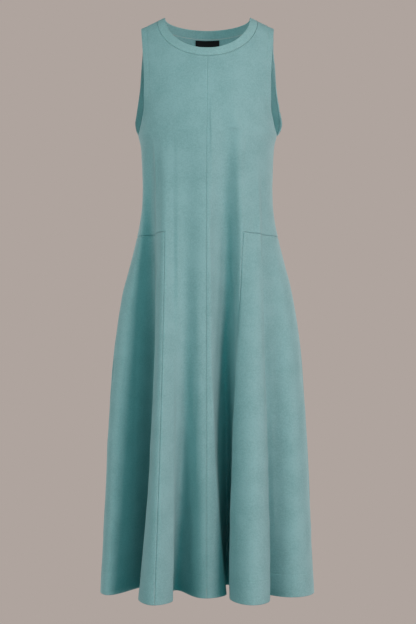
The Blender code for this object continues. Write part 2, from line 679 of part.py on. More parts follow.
def add_bindings(skin, normals, torso, front_rows, back_rows, band):
    """Strip under the first cells round each armhole, as wide as the first column."""
    near = WALL + SEAM_GAP
    middle = len(front_rows[0]) - 1
    for name, front_i, back_i, ring_cells in (
            ("armhole_binding_left", 0, len(back_rows[0]) - 2, (0, len(torso[0]) - 2)),
            ("armhole_binding_right", middle - 1, 0, (middle - 1, middle))):
        strip = Skin(skin.points)
        for rows, i in ((front_rows, front_i), (back_rows, back_i)):
            for lower, upper in zip(rows, rows[1:]):
                strip.add_cell(name, upper, lower, i)
        for i in ring_cells:
            strip.add_cell(name, torso[0], torso[1], i)
        faces = strip.faces[name]
        points = {k: np.array(skin.points[k]) for face in faces for k in face}
        mesh = cloth_wall(name, points, normals, faces, lambda p: near,
                          lambda p: near + BINDING_WALL)
        add_object(name, mesh, band)


def add_label(skin, normals, back_rows, material):
    """Bare woven label inside the back, hanging from the neckband seam."""
    rows = back_rows[::-1]
    xs = np.array([skin.points[k][0] for k in rows[0]])
    ends = np.interp((LABEL_WIDTH / 2, -LABEL_WIDTH / 2), xs[::-1], np.arange(len(xs))[::-1])
    across = [ends[0]] + list(range(int(ends[0]) + 1, int(np.ceil(ends[1])))) + [ends[1]]
    down = [LABEL_TOP, 1.0, LABEL_BOTTOM]
    label = Skin()
    directions = []
    for r in down:
        ids = []
        for c in across:
            point, direction = 0.0, 0.0
            for row, row_share in ((int(r), 1 - r % 1), (int(r) + 1, r % 1)):
                for column, share in ((int(c), 1 - c % 1), (int(c) + 1, c % 1)):
                    k = rows[row][column]
                    point = point + np.array(skin.points[k]) * row_share * share
                    direction = direction + normals[k] * row_share * share
            ids += label.add_points([point])
            directions.append(direction)
        if r > LABEL_TOP:
            for i in range(len(across) - 1):
                label.add_cell("label", upper_ids, ids, i)
        upper_ids = ids
    near = WALL + SEAM_GAP
    points = dict(enumerate(label.points))
    mesh = cloth_wall("label", points, directions, label.faces["label"],
                      lambda p: near, lambda p: near + LABEL_WALL)
    add_object("label", mesh, material)


# ------------------------------------------------------------------ materials and the whole


def make_material(name, colour, roughness):
    material = bpy.data.materials.new(name)
    material.use_nodes = True
    shader = material.node_tree.nodes["Principled BSDF"]
    shader.inputs["Base Color"].default_value = colour
    shader.inputs["Roughness"].default_value = roughness
    shader.inputs["Metallic"].default_value = 0.0
    return material


def main():
    for old in list(bpy.data.objects):
        bpy.data.objects.remove(old, do_unlink=True)
    cloth = make_material("crepe_knit", CLOTH_TEAL, CLOTH_ROUGHNESS)
    band = make_material("crepe_knit_trim", BAND_TEAL, CLOTH_ROUGHNESS)
    woven = make_material("woven_label", LABEL_BLACK, LABEL_ROUGHNESS)
    skin, torso, front_rows, back_rows = build_skin()
    normals = skin.normals()
    add_panels(skin, normals, cloth, band)
    add_bindings(skin, normals, torso, front_rows, back_rows, band)
    add_label(skin, normals, back_rows, woven)


main()
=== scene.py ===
"""Trapeze dress in crepe knit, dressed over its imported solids.

Metres, +Z up. The wearer faces -Y, and +X is on the right of a front view.
The origin lies midway between the neck ends of the two shoulder seams.

The cloth is one fine skin over the same body ovals and fold lines as the solids. It is
cut into the dress's own panels, rolled in at the sewn lines and rounded at the free
edges. Neckband, armhole bindings, label and sewing thread are laid on to it.
"""

from collections import namedtuple

import bpy
import numpy as np
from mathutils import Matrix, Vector
from mathutils.bvhtree import BVHTree


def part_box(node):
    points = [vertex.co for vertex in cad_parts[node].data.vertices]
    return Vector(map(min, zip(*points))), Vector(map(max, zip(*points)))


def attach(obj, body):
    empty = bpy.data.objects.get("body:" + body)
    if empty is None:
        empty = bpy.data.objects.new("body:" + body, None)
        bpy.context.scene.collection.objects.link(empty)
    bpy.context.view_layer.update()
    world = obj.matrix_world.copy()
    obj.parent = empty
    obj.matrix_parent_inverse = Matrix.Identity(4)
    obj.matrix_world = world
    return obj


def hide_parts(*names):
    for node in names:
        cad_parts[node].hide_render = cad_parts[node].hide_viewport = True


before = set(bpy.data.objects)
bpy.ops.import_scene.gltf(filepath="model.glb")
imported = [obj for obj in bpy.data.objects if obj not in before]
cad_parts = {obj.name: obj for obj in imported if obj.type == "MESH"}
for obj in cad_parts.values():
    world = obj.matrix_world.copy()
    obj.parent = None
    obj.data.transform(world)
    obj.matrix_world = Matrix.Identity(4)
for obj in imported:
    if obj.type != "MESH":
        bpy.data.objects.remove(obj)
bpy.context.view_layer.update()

# ---- sizes of the dress

FRONT, BACK = -1, 1
SIDE_WORD = {FRONT: "front", BACK: "back"}

DRESS_LENGTH = 1.200        # neck end of the shoulder seam down to the hem
WALL = 0.0016               # crepe knit, one layer
HEM_WALL = 0.0028           # panel and turned-up hem together
TURN_UP = 0.047             # depth of the turned-up hem
SEAM_GAP = 0.0003           # between two panels' edges in a seam

NECK_HALF_WIDTH = 0.0885
NECK_DROP = {FRONT: 0.0765, BACK: 0.0145}
BAND_WIDTH = 0.0172
BINDING_WIDTH = 0.0136
BINDING_WALL = 0.0010
LABEL_WALL = 0.0006
LABEL_FOLD, LABEL_FOLD_HALF_WIDTH, LABEL_FOLD_RISE = 0.0032, 0.0030, 0.00022
LABEL_BELLY = 0.0007        # how far the label's middle stands off the cloth

SHOULDER_HALF_WIDTH = 0.1385
SHOULDER_SLOPE = 0.475      # fall of the shoulder seam for each unit outwards
NECK_RISE_POWER = 1.6       # how the shoulder line levels out towards the neck's middle
UNDERARM_Z = -0.2445
WAIST_Z = -0.354
HIP_SIDE_Z = -0.4573        # the hip seam at the side seam
HIP_CORNER_Z = -0.4505      # the hip seam at its inner corner
HIP_ROW = -0.454

OVAL_POWER = 2.3            # 2 is an ellipse, more is squarer
ROUNDING = {FRONT: 0.327, BACK: 0.185}   # height over which a side rounds up to the shoulder

# ---- tables of the form


def table(columns, *rows):
    """Rows of given sizes, with a name for each column."""
    row = namedtuple("Row", columns)
    return tuple(row(*r) for r in rows)


# Body sections: half width at the front and at the back, and how far the fullest front
# and back lie from the side seams.
SECTIONS = table(
    "name z half_front half_back depth_front depth_back",
    ("shoulder", 0.0000, 0.1580, 0.1560, 0.1150, 0.1000),
    ("upper armhole", -0.0970, 0.1600, 0.1573, 0.1150, 0.1000),
    ("mid armhole", -0.1310, 0.1595, 0.1623, 0.1150, 0.1000),
    ("bust", -0.1660, 0.1558, 0.1654, 0.1150, 0.1000),
    ("below bust", -0.1940, 0.1473, 0.1645, 0.1150, 0.1000),
    ("low armhole", -0.2150, 0.1430, 0.1620, 0.1150, 0.0995),
    ("near underarm", -0.2320, 0.1425, 0.1535, 0.1150, 0.0990),
    ("close to underarm", -0.2410, 0.1433, 0.1480, 0.1150, 0.0987),
    ("underarm", UNDERARM_Z, 0.1437, 0.1445, 0.1150, 0.0985),
    ("side dart height", -0.2720, 0.1380, 0.1380, 0.1140, 0.0960),
    ("waist", WAIST_Z, 0.1344, 0.1344, 0.1090, 0.0890),
)

# Edge of the armhole, as its distance from the middle of the dress.
ARMHOLE = table(
    "name z front back",
    ("shoulder", -0.02375, 0.1385, 0.1385),
    ("cap", -0.0600, 0.1352, 0.1372),
    ("upper", -0.0970, 0.1322, 0.1400),
    ("middle", -0.1400, 0.1303, 0.1434),
    ("lower middle", -0.1700, 0.1300, 0.1474),
    ("low", -0.1960, 0.1308, 0.1508),
    ("curve", -0.2150, 0.1345, 0.1530),
    ("under curve", -0.2320, 0.1386, 0.1500),
    ("near bottom", -0.2410, 0.1420, 0.1460),
    ("bottom", UNDERARM_Z, 0.1437, 0.1437),
)

# Half width of the outline from the waist down to the hem.
OUTLINE = table(
    "name z half_width",
    ("above waist", -0.3200, 0.1352),
    ("waist", WAIST_Z, 0.1344),
    ("below waist", -0.3875, 0.1354),
    ("high hip", -0.4250, 0.1400),
    ("hip seam", -0.4570, 0.1468),
    ("thigh", -0.5125, 0.1604),
    ("flare", -0.5875, 0.1790),
    ("lower flare", -0.6625, 0.1905),
    ("knee", -0.7625, 0.2000),
    ("calf", -0.8875, 0.2080),
    ("low skirt", -1.0250, 0.2145),
    ("above hem", -1.1200, 0.2190),
    ("hem", -DRESS_LENGTH, 0.2235),
)

# Fold lines of the skirt, from the left side seam across the front to the right side seam
# and back behind. top_x is where the line leaves the waist oval, and hem_x, hem_y is where
# it ends. It starts to move sideways at x_start and forwards or back at y_start. A power
# over 1 makes it leave slowly, one under 1 at once. flare is the share of its sideways
# travel that follows the outline of the dress.
FOLD_COLUMNS = "name top_x hem_x hem_y x_start x_power y_start y_power flare"
FRONT_FOLDS = table(
    FOLD_COLUMNS,
    ("left side seam", -0.1344, -0.2238, 0.012, -0.35, 1.0, -0.354, 1.2, 1.00),
    ("left side front", -0.1339, -0.2110, -0.014, -0.38, 1.0, -0.354, 0.8, 0.95),
    ("left side slope", -0.1290, -0.1590, 0.042, -0.26, 0.9, -0.300, 1.25, 0.70),
    ("first valley", -0.1140, -0.1235, 0.086, -0.50, 1.7, -0.260, 0.75, 0.10),
    ("first valley flank", -0.1065, -0.1315, 0.006, -0.60, 2.3, -0.350, 0.7, 0.00),
    ("left lobe outer edge", -0.1005, -0.1400, -0.069, -0.38, 2.1, -0.490, 2.0, 0.00),
    ("left panel seam", -0.0865, -0.1065, -0.120, -0.405, 1.5, -0.210, 0.85, 0.00),
    ("left lobe inner edge", -0.0690, -0.0715, -0.085, -0.42, 1.4, -0.370, 0.85, 0.00),
    ("second valley flank", -0.0600, -0.0840, -0.008, -0.55, 2.2, -0.335, 1.95, 0.00),
    ("second valley", -0.0410, -0.0665, 0.036, -0.60, 1.5, -0.200, 2.1, 0.00),
    ("centre slope", -0.0210, -0.0434, -0.001, -0.45, 2.2, -0.333, 1.85, 0.00),
    ("centre front seam", -0.0020, -0.0020, -0.050, -0.45, 1.0, -0.460, 0.9, 0.00),
    ("centre lobe edge", 0.0060, 0.0360, -0.021, -0.60, 1.8, -0.405, 1.4, 0.00),
    ("third valley left flank", 0.0165, 0.0325, 0.061, -0.345, 1.2, -0.215, 1.55, 0.00),
    ("third valley", 0.0370, 0.0430, 0.098, -0.36, 1.1, -0.165, 1.45, 0.00),
    ("third valley right flank", 0.0580, 0.0525, 0.058, -0.42, 0.55, -0.270, 1.7, 0.00),
    ("right panel seam", 0.0737, 0.0520, -0.005, -0.44, 0.5, -0.480, 1.2, 0.00),
    ("right lobe inner edge", 0.0790, 0.0446, -0.0545, -0.43, 0.5, -0.450, 1.2, 0.00),
    ("right lobe crest", 0.0955, 0.0900, -0.118, -0.41, 1.0, -0.430, 0.95, 0.00),
    ("right lobe outer edge", 0.1035, 0.1280, -0.066, -0.32, 0.8, -0.450, 1.45, 0.00),
    ("fourth valley", 0.1100, 0.1170, -0.002, -0.45, 2.0, -0.265, 1.5, 0.10),
    ("right side slope", 0.1170, 0.1420, -0.025, -0.33, 1.5, -0.345, 0.7, 0.50),
    ("right side front", 0.1300, 0.1870, -0.036, -0.28, 0.7, -0.300, 0.8, 0.85),
    ("right side seam", 0.1344, 0.2230, 0.012, -0.35, 1.0, -0.354, 1.2, 1.00),
)
BACK_FOLDS = table(
    FOLD_COLUMNS,
    ("right side back", 0.1339, 0.2120, 0.058, -0.35, 1.0, -0.354, 1.2, 0.95),
    ("back valley one", 0.1275, 0.1850, 0.080, -0.38, 1.1, -0.380, 1.2, 0.80),
    ("back lobe one outer edge", 0.1180, 0.1775, 0.118, -0.40, 1.1, -0.400, 1.2, 0.60),
    ("back lobe one crest", 0.1040, 0.1460, 0.149, -0.40, 1.1, -0.400, 1.1, 0.30),
    ("right back seam", 0.0890, 0.1150, 0.109, -0.41, 1.2, -0.410, 1.1, 0.10),
    ("back valley two", 0.0720, 0.0960, 0.042, -0.43, 1.2, -0.330, 1.5, 0.00),
    ("back lobe two edge", 0.0560, 0.0815, 0.121, -0.42, 1.2, -0.420, 1.2, 0.00),
    ("back lobe two crest", 0.0400, 0.0460, 0.168, -0.40, 1.2, -0.400, 1.1, 0.00),
    ("back lobe two far edge", 0.0220, 0.0100, 0.117, -0.42, 1.2, -0.420, 1.2, 0.00),
    ("back valley three", 0.0000, -0.0120, 0.038, -0.41, 1.2, -0.280, 1.7, 0.00),
    ("back lobe three edge", -0.0180, -0.0280, 0.111, -0.43, 1.2, -0.430, 1.2, 0.00),
    ("back lobe three crest", -0.0380, -0.0600, 0.160, -0.40, 1.2, -0.400, 1.1, 0.00),
    ("back lobe three far edge", -0.0560, -0.0880, 0.108, -0.42, 1.2, -0.420, 1.2, 0.00),
    ("back valley four", -0.0720, -0.1000, 0.056, -0.44, 1.2, -0.360, 1.4, 0.00),
    ("left back seam", -0.0890, -0.1165, 0.106, -0.41, 1.2, -0.410, 1.1, 0.10),
    ("back lobe four crest", -0.1040, -0.1470, 0.144, -0.40, 1.1, -0.400, 1.1, 0.30),
    ("back lobe four outer edge", -0.1180, -0.1780, 0.109, -0.40, 1.1, -0.400, 1.2, 0.60),
    ("back valley five", -0.1275, -0.1870, 0.077, -0.38, 1.1, -0.380, 1.2, 0.80),
    ("left side back", -0.1339, -0.2130, 0.056, -0.35, 1.0, -0.354, 1.2, 0.95),
)
FOLDS = FRONT_FOLDS + BACK_FOLDS

# Lines that run down each side of the dress, and the panels between them.
SEAM_LINES = {
    FRONT: ("left side seam", "left panel seam", "centre front seam", "right panel seam",
            "right side seam"),
    BACK: ("right side seam", "right back seam", "left back seam", "left side seam"),
}

# ---- fineness of the skin

# Points that the lines of the form are worked out with before the grid is laid on them.
HEM_SAMPLES, ROW_SAMPLES, EASED_SAMPLES, TOP_SAMPLES, NECK_SAMPLES = 4001, 2001, 2401, 1601, 801

HEM_CELL = {FRONT: 0.0070, BACK: 0.0090}         # width of a cell at the hem
BEND_PULL = 0.045           # how strongly the columns crowd where the hem bends
UPPER_ROWS = 56             # rows between the underarm and the shoulder
ROW_CROWDING = 0.35         # how much closer they stand at both ends
CLOTH_STIFFNESS = 0.0042    # length over which the knit bridges a sharp bend
BRIDGED_FROM = -0.33        # below this height the knit bridges in full
TORSO_ROWS = 30
SKIRT_ROWS = 100
TURN_UP_ROWS = 7
SHOULDER_SHARE = {FRONT: 3 / 40, BACK: 3 / 32}   # part of the top edge that is shoulder seam

# Distances of the grid lines that stand beside each seam, closest first.
BESIDE_SEAM = (0.00015, 0.0005, 0.0010, 0.0016, 0.0024, 0.0034)
BESIDE_SHOULDER = (0.12, 0.30, 0.6)              # in rows below the top edge
CREASE_PULL = 1.6           # how strongly the columns crowd beside a pressed crease
CREASE_REACH = 0.011
BAND_COLUMNS = {FRONT: 190, BACK: 110}
BINDING_COLUMNS = 230

# ---- sewing and creases

GROOVE_DEPTH = 0.0011       # how far a seamed edge rolls in
GROOVE_HALF_WIDTH = 0.0010
RIDGE_HEIGHT = 0.00022      # the seam allowance behind lifts the cloth beside the groove
RIDGE_DISTANCE = 0.0024
RIDGE_HALF_WIDTH = 0.0010
FAINT_SEAM = 0.42           # the centre front seam is pressed flatter than the others
HEM_LINE_DEPTH = 0.00035    # dent of the blind hem stitches
HEM_LINE_HALF_WIDTH = 0.0012

CROWN = 0.00035             # how far the folded neckband stands up between its edges
STITCH_LENGTH, STITCH_PITCH, THREAD_RADIUS = 0.0024, 0.0032, 0.00019
STITCH_DIVE = THREAD_RADIUS * 1.6                # how deep its thinned ends would sink
STITCH_INSET = 0.0128       # topstitching inside the armhole's edge
STITCH_DENT, STITCH_DENT_HALF_WIDTH = 0.00060, 0.0016

CREASE_FADE_IN, CREASE_FADE_OUT = 0.12, 0.10
SWELL_BOW = 0.18            # how far a swell curves away from a straight line
TOP_FADE = 0.02             # the cloth lies smooth this close to its shoulder and neck seams
FULL_WAVES = -0.60          # below this height the loose cloth's waves are full
SLOW_WAVE = (0.00022, 0.00050)                   # height at the chest, and the skirt's extra
QUICK_WAVE = (0.00010, 0.00016)

# Creases that the cloth keeps along fold lines, fading in and out between two heights.
CREASES = table(
    "fold start end half_width height",
    ("left lobe outer edge", -0.44, -1.19, 0.0026, 0.0013),
    ("left lobe inner edge", -0.56, -1.16, 0.0050, 0.0005),
    ("centre slope", -0.66, -1.10, 0.0060, -0.0005),
    ("centre lobe edge", -0.60, -1.15, 0.0040, 0.0007),
    ("right lobe outer edge", -0.42, -1.18, 0.0028, 0.0012),
    ("right side slope", -0.52, -1.12, 0.0060, 0.0006),
    ("left side slope", -0.50, -1.10, 0.0060, -0.0006),
    ("back lobe one outer edge", -0.50, -1.17, 0.0034, 0.0009),
    ("back lobe two edge", -0.60, -1.12, 0.0046, 0.0007),
    ("back lobe three far edge", -0.46, -1.18, 0.0030, 0.0010),
    ("back lobe four outer edge", -0.55, -1.15, 0.0040, 0.0007),
)

# Soft dents and swells where the cloth drags or eases: the middle of each, the way it runs,
# half its length and width, and its height.
SWELLS = table(
    "name side x z turn half_length half_width height",
    ("left bust drag", FRONT, -0.088, -0.232, 24, 0.046, 0.0085, -0.0007),
    ("left bust swell", FRONT, -0.080, -0.216, 20, 0.040, 0.0100, 0.0006),
    ("right bust drag", FRONT, 0.098, -0.232, -28, 0.030, 0.0090, -0.0004),
    ("right underarm ease", FRONT, 0.114, -0.262, -52, 0.030, 0.0070, 0.0007),
    ("left underarm ease", FRONT, -0.112, -0.270, 58, 0.034, 0.0075, 0.0006),
    ("upper chest ease", FRONT, 0.030, -0.142, 8, 0.060, 0.0160, 0.0005),
    ("left waist pull", FRONT, -0.104, -0.352, -12, 0.028, 0.0060, -0.0006),
    ("right waist pull", FRONT, 0.100, -0.366, 14, 0.032, 0.0065, -0.0006),
    ("right hip pucker", FRONT, 0.082, -0.436, 62, 0.010, 0.0028, 0.0007),
    ("right hip second pucker", FRONT, 0.093, -0.438, 74, 0.008, 0.0024, -0.0006),
    ("left hip pucker", FRONT, -0.092, -0.438, -66, 0.009, 0.0026, 0.0007),
    ("left thigh wave", FRONT, -0.150, -0.560, 78, 0.060, 0.0120, 0.0006),
    ("right thigh wave", FRONT, 0.140, -0.600, -80, 0.070, 0.0120, -0.0007),
    ("right shin wave", FRONT, 0.176, -0.900, -84, 0.110, 0.0140, 0.0008),
    ("left shin wave", FRONT, -0.182, -0.960, 84, 0.100, 0.0130, -0.0008),
    ("shoulder blade swell", BACK, 0.062, -0.176, 12, 0.050, 0.0150, 0.0007),
    ("left back drag", BACK, -0.080, -0.240, -26, 0.048, 0.0090, -0.0007),
    ("right back drag", BACK, 0.086, -0.250, 30, 0.044, 0.0085, -0.0007),
    ("small of the back fold", BACK, 0.010, -0.330, 4, 0.056, 0.0080, -0.0009),
    ("small of the back swell", BACK, -0.006, -0.346, 2, 0.060, 0.0090, 0.0007),
    ("left back hip pucker", BACK, -0.094, -0.438, 64, 0.009, 0.0026, 0.0007),
    ("right back hip pucker", BACK, 0.090, -0.439, -70, 0.010, 0.0026, 0.0006),
)

# ---- curves


def monotone_curve(at, xs, ys):
    """Smooth curve through the points xs, ys that never overshoots them."""
    xs, ys = np.asarray(xs, float), np.asarray(ys, float)
    if xs[0] > xs[-1]:
        xs, ys = xs[::-1], ys[::-1]
    step = np.diff(xs)
    slope = np.diff(ys) / step
    turns = slope[:-1] * slope[1:] <= 0
    before, after = 2 * step[1:] + step[:-1], step[1:] + 2 * step[:-1]
    with np.errstate(divide="ignore", invalid="ignore"):
        mean = (before + after) / (before / slope[:-1] + after / slope[1:])
    slopes = np.concatenate(([slope[0]], np.where(turns, 0.0, mean), [slope[-1]]))
    at = np.clip(at, xs[0], xs[-1])
    k = np.clip(np.searchsorted(xs, at) - 1, 0, len(step) - 1)
    t = (at - xs[k]) / step[k]
    return ((1 + 2 * t) * (1 - t) ** 2 * ys[k] + t * (1 - t) ** 2 * step[k] * slopes[k]
            + t * t * (3 - 2 * t) * ys[k + 1] + t * t * (t - 1) * step[k] * slopes[k + 1])


def distance_along(points):
    """Run from the first point to each point of a line."""
    steps = np.linalg.norm(np.diff(points, axis=0), axis=1)
    return np.concatenate(([0.0], np.cumsum(steps)))


def points_at(at, run, points):
    """Points of a line at other runs along it."""
    return np.column_stack([np.interp(at, run, points[:, k]) for k in range(3)])


def closed_spline_weights(knots, length, at):
    """Weights that turn values at the knots into a smooth closed curve's values."""
    count = len(knots)
    step = np.diff(np.append(knots, knots[0] + length))
    bends = np.zeros((count, count))
    jumps = np.zeros((count, count))
    for k in range(count):
        left, right = step[k - 1], step[k]
        bends[k, k - 1] += left
        bends[k, k] += 2 * (left + right)
        bends[k, (k + 1) % count] += right
        jumps[k, k - 1] += 6 / left
        jumps[k, k] -= 6 / left + 6 / right
        jumps[k, (k + 1) % count] += 6 / right
    curvature = np.linalg.solve(bends, jumps)
    at = (np.asarray(at, float) - knots[0]) % length + knots[0]
    k = np.searchsorted(knots, at, side="right") - 1
    ahead = (k + 1) % count
    b = (at - knots[k]) / step[k]
    a = 1 - b
    unit = np.eye(count)
    bow = (a ** 3 - a)[:, None] * curvature[k] + (b ** 3 - b)[:, None] * curvature[ahead]
    return a[:, None] * unit[k] + b[:, None] * unit[ahead] + bow * (step[k] ** 2 / 6)[:, None]


def bump(distance, half_width):
    """Soft bump of height 1 at distance 0."""
    return np.exp(-(distance / half_width) ** 2)


def ramp(value, start, end):
    """0 before start, 1 after end, and a soft S between."""
    t = np.clip((value - start) / (end - start), 0.0, 1.0)
    return t * t * (3 - 2 * t)


# ---- body above the waist


def column_at(rows, column, z):
    """Smooth curve down one column of a table, at the heights z."""
    return monotone_curve(z, [r.z for r in rows], [getattr(r, column) for r in rows])


def oval_half(side, z):
    return column_at(SECTIONS, "half_" + SIDE_WORD[side], z)


def shoulder_line(x):
    """Height of the top of the shoulders, from the neck's middle outwards."""
    x = np.abs(x)
    rise = SHOULDER_SLOPE * NECK_HALF_WIDTH / NECK_RISE_POWER
    inside = rise * (1 - (np.minimum(x, NECK_HALF_WIDTH) / NECK_HALF_WIDTH) ** NECK_RISE_POWER)
    return inside - SHOULDER_SLOPE * np.maximum(x - NECK_HALF_WIDTH, 0.0)


def body_depth(side, x, z):
    """How far the skin lies in front of or behind the side seams at x, z."""
    below = np.clip((shoulder_line(x) - z) / ROUNDING[side], 0.0, 1.0)
    across = np.clip(np.abs(x) / oval_half(side, z), 0.0, 1.0)
    fullness = (1 - across ** OVAL_POWER) ** (1 / OVAL_POWER)
    depth = column_at(SECTIONS, "depth_" + SIDE_WORD[side], z)
    return side * depth * np.sqrt(1 - (1 - below) ** 2) * fullness


def body_point(side, x, z):
    return np.stack([x, body_depth(side, x, z), z * np.ones_like(x)], axis=-1)


def oval_x(side, angle, z):
    share = np.cos(angle)
    return -oval_half(side, z) * np.sign(share) * np.abs(share) ** (2 / OVAL_POWER)


def oval_angle(side, x, z):
    """Angle round the body oval from the left side, for a place on the skin."""
    share = np.clip(-x / oval_half(side, z), -1.0, 1.0)
    return np.arccos(np.sign(share) * np.abs(share) ** (OVAL_POWER / 2))


def body_ring(angle, z):
    """x and y on the body oval. The angle runs from the left side seam, front first."""
    front = np.sin(angle) >= 0
    x = np.where(front, oval_x(FRONT, angle, z), oval_x(BACK, angle, z))
    y = np.where(front, body_depth(FRONT, x, z), body_depth(BACK, x, z))
    return x, y


# ---- folds below the waist


def fold_angle(fold, side):
    """Angle at which a fold line leaves the waist oval."""
    angle = oval_angle(FRONT, fold.top_x, WAIST_Z)
    return angle if side == FRONT else 2 * np.pi - angle


def hem_distances():
    """Distance of every fold line round the hem, and the whole way round."""
    hem = np.array([(f.hem_x, f.hem_y) for f in FOLDS])
    gaps = np.linalg.norm(np.roll(hem, -1, axis=0) - hem, axis=1)
    return np.concatenate(([0.0], np.cumsum(gaps[:-1]))), gaps.sum()


def fold_column(name):
    return np.array([getattr(f, name) for f in FOLDS])


KNOTS, HEM_ROUND = hem_distances()
ANGLES = np.array([fold_angle(f, FRONT) for f in FRONT_FOLDS]
                  + [fold_angle(f, BACK) for f in BACK_FOLDS])
WAIST_X, WAIST_Y = body_ring(ANGLES, WAIST_Z)
KNOT_OF = {f.name: k for f, k in zip(FOLDS, KNOTS)}


def growth(height, start, power):
    """Share of each fold line's travel that is done at each height."""
    done = np.clip((start - height[:, None]) / (start + DRESS_LENGTH), 0.0, 1.0)
    return np.where(power < 1, 1 - (1 - done) ** (1 / np.minimum(power, 1)),
                    done ** np.maximum(power, 1))


def fold_travel(weights, z):
    """How far the folds carry the skin sideways and forwards at the heights z."""
    waist, hem = OUTLINE[1].half_width, OUTLINE[-1].half_width
    flared = (column_at(OUTLINE, "half_width", z) - waist) / (hem - waist)
    flared = np.where(z < WAIST_Z, flared, 0.0)[:, None]
    flare = fold_column("flare")
    sideways = flare * flared + (1 - flare) * growth(z, fold_column("x_start"),
                                                     fold_column("x_power"))
    forwards = growth(z, fold_column("y_start"), fold_column("y_power"))
    x = np.sum(weights * (fold_column("hem_x") - WAIST_X) * sideways, axis=1)
    y = np.sum(weights * (fold_column("hem_y") - WAIST_Y) * forwards, axis=1)
    return x, y


HIP_TILT_REACH = 0.09       # how far from the hip seam the rows follow its tilt


def hip_tilt(distance, z):
    """The hip seam rises from the side seam to its corner, and the rows near it follow."""
    sides = (0.0, KNOT_OF["right side seam"], HEM_ROUND)
    corners = [KNOT_OF[n] for n in ("left panel seam", "right panel seam",
                                    "right back seam", "left back seam")]
    order = sorted([*sides, *corners])
    heights = [HIP_SIDE_Z if o in sides else HIP_CORNER_Z for o in order]
    near = max(1 - abs(z - HIP_ROW) / HIP_TILT_REACH, 0)
    return (np.interp(distance, order, heights) - HIP_ROW) * near


def skirt_points(distance, z):
    """Points of the skin at distances round the hem, for a row of the given height."""
    weights = closed_spline_weights(KNOTS, HEM_ROUND, distance)
    turn = 2 * np.pi / HEM_ROUND
    angle = turn * distance + weights @ (ANGLES - turn * KNOTS)
    height = z + hip_tilt(distance, z)
    x, y = body_ring(angle, np.maximum(height, WAIST_Z))
    x_travel, y_travel = fold_travel(weights, height)
    return np.column_stack([x + x_travel, y + y_travel, height])


def eased_line(begin, end, z):
    """Row of the skin between two distances, its tight bends bridged by the cloth's stiffness."""
    spare = 0.06            # beyond both ends, so that the ends are eased like the rest
    fine = np.linspace(begin - spare, end + spare, EASED_SAMPLES)
    line = skirt_points(fine, z)
    stiffness = CLOTH_STIFFNESS * ramp(z, UNDERARM_Z, BRIDGED_FROM)
    if stiffness > 0:
        run = distance_along(line)
        even = np.linspace(0.0, run[-1], len(fine))
        reach = int(np.ceil(3 * stiffness / even[1]))
        weights = bump(np.arange(-reach, reach + 1) * even[1], stiffness)
        weights /= weights.sum()
        for k in range(3):
            steady = np.interp(even, run, line[:, k])
            padded = np.pad(steady, reach, mode="reflect", reflect_type="odd")
            line[:, k] = np.interp(run, even, np.convolve(padded, weights, mode="valid"))
    inside = np.linspace(begin, end, ROW_SAMPLES)
    return inside, points_at(inside, fine, line)


# ---- columns of the grid


def hem_effort():
    """Distances round the hem, and how many columns each stretch of it asks for."""
    even = np.linspace(0.0, HEM_ROUND, HEM_SAMPLES)
    hem = skirt_points(even, -DRESS_LENGTH)[:, :2]
    way = np.gradient(hem, axis=0)
    heading = np.unwrap(np.arctan2(way[:, 1], way[:, 0]))
    step = np.linalg.norm(way, axis=1)
    bend = np.abs(np.gradient(heading)) * BEND_PULL + step
    for crease in CREASES:
        bend += CREASE_PULL * step * bump(even - KNOT_OF[crease.fold], CREASE_REACH)
    return even, np.concatenate(([0.0], np.cumsum(bend[1:])))


def side_seams(side):
    """Distance round the hem of each seam line of one side, in order."""
    knots = [KNOT_OF[name] for name in SEAM_LINES[side]]
    return knots if side == FRONT else knots[:-1] + [HEM_ROUND]


class Columns:
    """Columns of one side's grid: their place at the hem and how they stand by the seams."""

    def __init__(self, side, even, effort):
        seams = side_seams(side)
        columns = []        # place at the hem, its seam, distance from it, stands free of it
        for k, (begin, end) in enumerate(zip(seams, seams[1:])):
            first, last = np.interp((begin, end), even, effort)
            count = int(round((last - first) / HEM_CELL[side]))
            inner = np.interp(np.linspace(first, last, count + 1)[1:-1], effort, even)
            columns += [(begin, k, beside, False) for beside in BESIDE_SEAM]
            columns += [(at, k, 0.0, True) for at in inner]
            columns += [(end, k + 1, -beside, False) for beside in BESIDE_SEAM[::-1]]
        self.at, self.seam, self.offset, self.interior = map(np.array, zip(*columns))
        self.seams = np.array(seams)

    def place(self, natural, seam_runs):
        """Run of every column along a row, from where it would fall and where the seams are."""
        fan = BESIDE_SEAM[-1]
        last = len(seam_runs) - 1
        begin, end = seam_runs[self.seam], seam_runs[np.minimum(self.seam + 1, last)]
        span = np.where(self.interior, end - begin, 1.0)
        inner = begin + fan + (natural - begin) * (span - 2 * fan) / span
        return np.where(self.interior, inner, begin + self.offset)


def side_distances(side):
    """Even distances round the hem, from one side seam to the other."""
    seams = side_seams(side)
    return np.linspace(seams[0], seams[-1], ROW_SAMPLES)


def underarm_shares(side, distance):
    """How far round the underarm row a distance stands, 0 to 1, with 0.5 at the front seam."""
    fine = side_distances(side)
    run = distance_along(skirt_points(fine, UNDERARM_Z))
    stops = [0.0, run[-1]]
    if side == FRONT:
        stops.insert(1, np.interp(KNOT_OF["centre front seam"], fine, run))
    return np.interp(np.interp(distance, fine, run), stops, np.linspace(0, 1, len(stops)))


